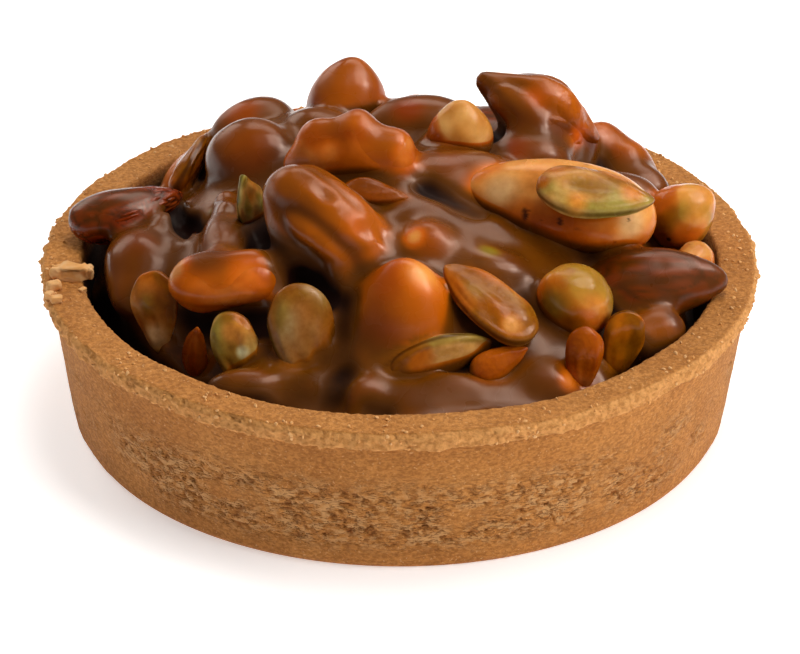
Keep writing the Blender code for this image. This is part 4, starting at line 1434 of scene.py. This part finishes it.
class Field:
    """Distances to a surface on a box of voxels, below 0 inside. Places are in metres."""

    def __init__(self, low, high, voxel):
        self.low = np.array(low)
        self.voxel = voxel
        self.shape = tuple(np.ceil((np.array(high) - self.low) / voxel).astype(int) + 1)
        self.far = BAND * voxel

    def window(self, low, high):
        """The slices of the box that hold a smaller box."""
        first = np.clip(((low - self.low) / self.voxel).astype(int), 0, self.shape)
        last = np.clip(((high - self.low) / self.voxel).astype(int) + 2, 0, self.shape)
        return tuple(slice(a, b) for a, b in zip(first, last))

    def points(self, window=None):
        """The places of the voxels in a window, one row each."""
        window = window or tuple(slice(0, n) for n in self.shape)
        axes = [self.low[i] + self.voxel * np.arange(w.start, w.stop) for i, w in enumerate(window)]
        return np.stack(np.meshgrid(*axes, indexing="ij"), -1).reshape(-1, 3).astype(np.float32)

    def distances(self, points, faces, window=None):
        """Signed distances to a closed mesh in a window, no further than the band."""
        window = window or tuple(slice(0, n) for n in self.shape)
        scaled = vdb.createLinearTransform(voxelSize=self.voxel)
        grid = vdb.FloatGrid.createLevelSetFromPolygons(
            (points - self.low).astype(np.float32),
            triangles=faces.astype(np.uint32),
            transform=scaled,
            halfWidth=BAND,
        )
        array = np.empty([w.stop - w.start for w in window], np.float32)
        grid.copyToArray(array, ijk=tuple(w.start for w in window))
        return array

    def surface(self, array):
        """The closed surface where the distances are 0: its points and its four-sided faces."""
        grid = vdb.FloatGrid(self.far)
        grid.copyFromArray(array.astype(np.float32))
        grid.transform = vdb.createLinearTransform(voxelSize=self.voxel)
        points, faces = grid.convertToQuads()
        return points + self.low, faces

    def read(self, array, points):
        """An array's values at places between its voxels."""
        place = (points - self.low) / self.voxel
        low = np.clip(np.floor(place).astype(int), 0, np.array(self.shape) - 2)
        share = place - low
        total = np.zeros(len(points))
        for corner in itertools.product((0, 1), repeat=3):
            weight = np.prod(np.where(corner, share, 1 - share), axis=1)
            x, y, z = (low + corner).T
            total += weight * array[x, y, z]
        return total


def blurred(array, reach):
    """An array smoothed by a bell curve of that reach, in voxels."""
    steps = np.arange(-math.ceil(2.5 * reach), math.ceil(2.5 * reach) + 1)
    weights = np.exp(-0.5 * (steps / reach) ** 2)
    weights /= weights.sum()
    for axis in range(3):
        wide = [(0, 0)] * 3
        wide[axis] = (-steps[0], steps[-1])
        padded = np.pad(array, wide, mode="edge")
        total = np.zeros_like(array)
        for step, weight in zip(range(len(steps)), weights):
            total += weight * padded.take(range(step, step + array.shape[axis]), axis=axis)
        array = total
    return array


def joined(first, second, fillet):
    """Two distances joined, with a fillet where their surfaces meet."""
    near = np.clip(fillet - np.abs(first - second), 0, None)
    return np.minimum(first, second) - near * near / (4 * fillet)


def cut(first, second, fillet):
    """The first shape without the second, with a rounded edge."""
    return -joined(-first, second, fillet)


def wall_gap(points):
    """How far the caramel stands away from the wall at each place, in metres."""
    angle = np.degrees(np.arctan2(points[:, 1], points[:, 0])) % 360
    widest = np.zeros(len(points), np.float32)
    for first, last, width in WALL_GAPS:
        share = ((angle - first) % 360) / (last - first)
        bow = np.sqrt(np.sin(np.pi * np.clip(share, 0, 1)).clip(0))
        widest = np.maximum(widest, width * MM * bow)
    return widest


def rod(field, start, end, half_width):
    """A window round a rod with round ends, and distances to its uneven surface there."""
    start, end = np.array(start) * MM, np.array(end) * MM
    reach = half_width * MM + 4 * MM
    window = field.window(np.minimum(start, end) - reach, np.maximum(start, end) + reach)
    points = field.points(window)
    along = end - start
    share = np.clip((points - start) @ along / (along @ along), 0, 1)
    wobble = 1 + 0.35 * SoftNoise(31, 2.5 * MM)(points + 1.0)
    distance = np.linalg.norm(points - start - share[:, None] * along, axis=1)
    distance = distance - half_width * MM * wobble
    return window, distance.reshape([w.stop - w.start for w in window]).astype(np.float32)


def welded_solid(node):
    """A solid's points and triangles, each point once."""
    shape = bmesh.new()
    shape.from_mesh(frame["nodes"][node].data)
    bmesh.ops.remove_doubles(shape, verts=shape.verts, dist=0.001 * MM)
    bmesh.ops.triangulate(shape, faces=shape.faces)
    return points_and_faces(shape)


# The mound's surface waves by this much above where it leaves the shell's inside
MOUND_WAVE = 0.40 * MM
WAVES_FROM, WAVES_FULL = 9 * MM, 14 * MM

# The ring that ran down to the wall: the height of its top, how far that rises and falls, the angle in
# degrees round which it is highest and by how much, and the radius where the ring begins
RING_TOP = 14.6 * MM
RING_WAVE = 1.4 * MM
RING_FRONT = 279
RING_RISE = 2.8 * MM
RING_INSIDE = 31 * MM


def mound_and_ring(field):
    """The caramel without its nuts: distances to its surface, how shaded each place is, where the shell
    is beside it, and how far each place is beyond the wall's inside."""
    body = field.distances(*welded_solid("caramel"))
    body = blurred(body, BODY_SOFTNESS / field.voxel)
    points = field.points()
    radius = np.hypot(points[:, 0], points[:, 1]).reshape(field.shape)
    height = points[:, 2].reshape(field.shape)
    waves = SoftNoise(3, 7 * MM)(points + 1.0) + 0.4 * SoftNoise(5, 3.2 * MM)(points + 1.0)
    body -= MOUND_WAVE * waves.reshape(field.shape) * smooth_step(height, WAVES_FROM, WAVES_FULL)
    # Soft caramel fills the hollows of the mound and leaves its bulges
    body = np.minimum(body, blurred(body, POOLING / field.voxel) + 0.10 * MM)

    # It ran down to the wall: a ring whose top rises and falls, highest at the front
    angle = np.degrees(np.arctan2(points[:, 1], points[:, 0])).reshape(field.shape) % 360
    swell = SoftNoise(4, 9 * MM)(points * (1, 1, 0) + 1.0).reshape(field.shape)
    level = RING_TOP + RING_WAVE * swell
    level += RING_RISE * smooth_step(np.abs(angle - RING_FRONT), 20, 6)
    gap = wall_gap(points).reshape(field.shape)
    ring = np.maximum(height - level + 2.0 * gap, RING_INSIDE - radius)
    body = joined(body, ring, 1.8 * MM)

    # In places it stands off the wall, and the gap is in shade
    gap = (gap * smooth_step(height, FLOOR + 2 * MM, 9 * MM)).astype(np.float32)
    inside_wall = radius - (inner_radius(height) + 0.15 * MM) + gap
    below_rim = height < RIM_HEIGHT + 0.3 * MM
    body = np.where(below_rim, cut(body, -inside_wall, 1.2 * MM), body)
    shade = smooth_step(inside_wall, -2.6 * MM, -0.2 * MM) * smooth_step(gap, 0, 1.2 * MM)
    shade = (shade * smooth_step(RIM_HEIGHT - height, 0, 2 * MM)).astype(np.float32)
    return body, shade, below_rim, inside_wall - gap


def lay_runs(field, body, shade):
    """Joins the covered nuts on, cuts the crevices, which are in shade, and lays the threads."""
    points = field.points()
    for middle, half in LUMPS:
        offset = (points - np.array(middle) * MM) / (np.array(half) * MM)
        lump = (np.linalg.norm(offset, axis=1).reshape(field.shape) - 1) * min(half) * MM
        body = joined(body, lump, 2.4 * MM)
    for start, end, half_width in CREVICES:
        window, distance = rod(field, start, end, half_width)
        body[window] = cut(body[window], distance, 2.4 * MM)
        shade[window] = np.maximum(shade[window], smooth_step(-distance, -1.8 * MM, 0.1 * MM))
    for start, end, half_width in STRANDS:
        window, distance = rod(field, start, end, half_width)
        body[window] = joined(body[window], distance, 0.8 * MM)
    return body


def cover_nuts(field, body, nuts, fillet):
    """Lets the caramel climb each nut. Gives back the distance to the nearest nut and its number."""
    nearest = np.full(field.shape, field.far, np.float32)
    owner = np.full(field.shape, -1, np.int16)
    for index, nut in enumerate(nuts):
        surface, _, faces = nut.surface()
        window = field.window(surface.min(0) - field.far, surface.max(0) + field.far)
        distance = field.distances(surface, faces, window)
        film = nut.cover_at(field.points(window)).reshape(distance.shape)
        body[window] = joined(body[window], distance - film, fillet * nut.kind.climb)
        closer = distance < nearest[window]
        nearest[window][closer] = distance[closer]
        owner[window][closer] = index
    return nearest, owner


@functools.lru_cache(maxsize=1)
def heap(fillet, voxel):
    """The caramel as distances on a box of voxels, the nuts in it, and how closed in each place is."""
    low, high = (np.array(corner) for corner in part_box("caramel"))
    high[2] = CAD_BOX[1][2]
    field = Field(low - 3 * MM, high + 3 * MM, voxel)
    nuts = [Nut(node) for node in NUT_NODES]

    body, shade, below_rim, beyond_wall = mound_and_ring(field)
    body = lay_runs(field, body, shade)
    nearest, owner = cover_nuts(field, body, nuts, fillet)

    # A last smoothing, which is kept out of the shell's wall and floor
    body = blurred(body, 0.30 * MM / field.voxel)
    body = np.where(below_rim, np.maximum(body, beyond_wall), body)
    height = field.points()[:, 2].reshape(field.shape)
    body = np.maximum(body, FLOOR + 0.2 * MM - height)
    filled = (np.minimum(body, nearest) < 0).astype(np.float32)
    filled = blurred(filled, HOLLOW_REACH / field.voxel)
    return SimpleNamespace(
        field=field, body=body, nearest=nearest, owner=owner, nuts=nuts, shade=shade, filled=filled
    )


def painted_hollow_shade(made, points):
    """How much painted shade, counted as millimetres of extra film, darkens the hollows of the heap,
    where little light comes back."""
    return HOLLOW_SHADE_FILM * smooth_step(made.field.read(made.filled, points), *HOLLOW_SHARES)


def caramel_shape(look):
    """The caramel's surface, with the colour of what lies under each point and how deep it is there,
    with painted shade counted in as extra depth.
    """
    made = heap(look.fillet, look.voxel)
    field, body = made.field, made.body
    surface, faces = field.surface(body)

    # Where no nut is near, the caramel thins over what bulges and pools in what is hollow
    bulge = field.read(blurred(body, 1.6 * MM / field.voxel) - body, surface) / MM
    film = np.clip(2.0 - 2.0 * bulge, 1.3, 2.4)
    skin = np.tile(linear("c98a48"), (len(surface), 1))
    depth = field.read(made.nearest, surface) / MM
    owners = made.owner[tuple(np.round((surface - field.low) / field.voxel).astype(int).T)]
    for index, nut in enumerate(made.nuts):
        mine = np.flatnonzero(owners == index)
        if len(mine) == 0:
            continue
        unit = nut.unit(surface[mine])
        own_film = np.clip(depth[mine], 0, None) + nut.glaze_at(surface[mine])
        over_nut = smooth_step(own_film, 3.0, 1.5)
        skin[mine] = blend_colours(skin[mine], nut.skin_at(unit), over_nut)
        film[mine] = np.where(own_film < film[mine], own_film, film[mine])

    skin, film = patched(surface, skin, film)
    # Painted shade, counted in as extra film: in the gaps, in the hollows of the heap, and more with
    # each millimetre deep under the rim, where hardly any light comes back
    below = np.clip(16.5 - surface[:, 2] / MM, 0, None)
    film += 1.2 * below + 5.0 * field.read(made.shade, surface) + painted_hollow_shade(made, surface)
    return surface, faces, skin, film


class TART_OT_caramel(bpy.types.Operator):
    """Pours the caramel round and over the nuts"""

    bl_idname = "tart.caramel"
    bl_label = "Caramel"

    def execute(self, context):
        points, faces, skin, film = caramel_shape(context.scene.tart_caramel)
        mesh = mesh_from("poured_caramel", points, faces)
        set_colours(mesh, "skin", skin)
        set_numbers(mesh, "film", film)
        caramel = new_object("poured_caramel", mesh, caramel_material())
        make_faces_point_out(caramel.data)
        finish_piece(caramel, ["caramel"])
        return {"FINISHED"}


# The stage


class TART_OT_stage(bpy.types.Operator):
    """Sets the floor, the lights and the camera"""

    bl_idname = "tart.stage"
    bl_label = "Stage"

    def execute(self, context):
        look = context.scene.tart_stage
        context.scene.view_settings.view_transform = "Standard"
        make_floor(look)
        make_lights(look)
        make_camera(look)
        return {"FINISHED"}


# Wide enough to fill the picture from every side
FLOOR_RADIUS = 4.0


def make_floor(look):
    shape = bmesh.new()
    bmesh.ops.create_circle(shape, cap_ends=True, segments=96, radius=FLOOR_RADIUS)
    mesh = bpy.data.meshes.new("studio_floor")
    shape.to_mesh(mesh)
    shape.free()
    # White paper on a light table: matt, so it gives back no glint, and it glows a little of its own
    material, add = material_nodes("matt_white_studio_paper")
    glow = {"Emission Color": (1.0, 1.0, 1.0), "Emission Strength": look.glow}
    finish_surface(add, look.floor, 0.9, [], glow)
    floor = new_object("studio_floor", mesh, material)


def make_light(name, middle, size, power, lights=True, glints=True):
    """A softbox that faces the tart. Its middle and size are in metres. One that doesn't glint stays
    out of the glossy reflections, as behind a scrim, and one that doesn't light shows only in them."""
    light = bpy.data.lights.new(name, "AREA")
    light.shape = "RECTANGLE"
    light.size, light.size_y = size
    light.energy = power
    lamp = bpy.data.objects.new(name, light)
    bpy.context.scene.collection.objects.link(lamp)
    if not lights:
        light.color = (1.0, 0.80, 0.68)
    lamp.visible_diffuse = lights
    lamp.visible_glossy = glints
    lamp.location = middle
    towards = Vector((0, 0, 0.02)) - Vector(middle)
    lamp.rotation_euler = towards.to_track_quat("-Z", "Y").to_euler()


def make_lights(look):
    world = bpy.data.worlds.new("studio_light")
    world.use_nodes = True
    background = world.node_tree.nodes["Background"]
    background.inputs["Color"].default_value = (1.0, 1.0, 1.0, 1.0)
    background.inputs["Strength"].default_value = look.sky
    bpy.context.scene.world = world
    make_light("overhead_softbox", (0.10, 0.06, 0.70), (0.40, 0.26), look.top, glints=False)
    make_light("back_softbox", (-0.15, 0.80, 0.45), (1.2, 0.6), look.back, glints=False)
    make_light("right_softbox", (0.55, -0.25, 0.40), (0.4, 0.4), look.key, glints=False)
    make_light("left_softbox", (-0.40, 0.50, 0.44), (0.40, 0.26), look.left, glints=False)
    make_light("glint_panel", (0.60, 0.11, 0.51), (0.16, 0.16), 1.3 * look.sheen, lights=False)
    make_light("right_panel", (0.46, 0.14, 0.66), (0.44, 0.44), 4.4 * look.sheen, lights=False)
    make_light("back_panel", (0.24, 0.55, 0.62), (0.90, 0.30), 2.6 * look.sheen, lights=False)
    make_light("left_panel", (-0.44, 0.66, 0.32), (0.40, 0.34), 1.0 * look.sheen, lights=False)


# The camera looks at a point above the base's middle, which falls at this pixel of the image
TARGET_HEIGHT = 10 * MM
IMAGE_WIDTH, IMAGE_HEIGHT = 800, 654
TARGET_PIXEL = (399.5, 321.0)
FOCAL_PIXELS = 3326
SENSOR = 36


def make_camera(look):
    data = bpy.data.cameras.new("camera")
    camera = bpy.data.objects.new("camera", data)
    bpy.context.scene.collection.objects.link(camera)
    back = Vector((0, -math.cos(look.tilt), math.sin(look.tilt)))
    camera.location = Vector((0, 0, TARGET_HEIGHT)) + back * look.distance
    camera.rotation_euler = (math.pi / 2 - look.tilt, 0, 0)
    data.sensor_width = SENSOR
    data.lens = FOCAL_PIXELS * SENSOR / IMAGE_WIDTH
    data.shift_x = (IMAGE_WIDTH / 2 - TARGET_PIXEL[0]) / IMAGE_WIDTH
    data.shift_y = (TARGET_PIXEL[1] - IMAGE_HEIGHT / 2) / IMAGE_WIDTH
    data.clip_start = 0.01
    bpy.context.scene.camera = camera


STEPS = (
    TART_OT_stage,
    TART_OT_pastry_shell,
    TART_OT_crumbs,
    TART_OT_almonds,
    TART_OT_blanched_almonds,
    TART_OT_hazelnuts,
    TART_OT_cashews,
    TART_OT_peanuts,
    TART_OT_pumpkin_seeds,
    TART_OT_sunflower_seeds,
    TART_OT_walnuts,
    TART_OT_caramel,
)


class TART_PT_panel(bpy.types.Panel):
    """Lists the tart's sizes, colours and steps"""

    bl_idname = "TART_PT_panel"
    bl_label = "Nut Tart"
    bl_space_type = "VIEW_3D"
    bl_region_type = "UI"
    bl_category = "Nut Tart"

    def draw(self, context):
        for look in LOOKS:
            box = self.layout.box()
            box.label(text=look)
            group = getattr(context.scene, look)
            for name in group.bl_rna.properties.keys():
                if name not in ("rna_type", "name"):
                    box.prop(group, name)
        for step in STEPS:
            self.layout.operator(step.bl_idname)


LOOKS = {
    "tart_pastry": PastryLook,
    "tart_caramel": CaramelLook,
    "tart_crumbs": CrumbLook,
    "tart_stage": StageLook,
}


def register():
    for made in (*LOOKS.values(), *STEPS, TART_PT_panel):
        bpy.utils.register_class(made)
    for name, look in LOOKS.items():
        setattr(bpy.types.Scene, name, PointerProperty(type=look))


def unregister():
    for name in LOOKS:
        delattr(bpy.types.Scene, name)
    for made in reversed((*LOOKS.values(), *STEPS, TART_PT_panel)):
        bpy.utils.unregister_class(made)


def main():
    register()
    for step in STEPS:
        category, name = step.bl_idname.split(".")
        getattr(getattr(bpy.ops, category), name)()


if __name__ == "__main__":
    main()
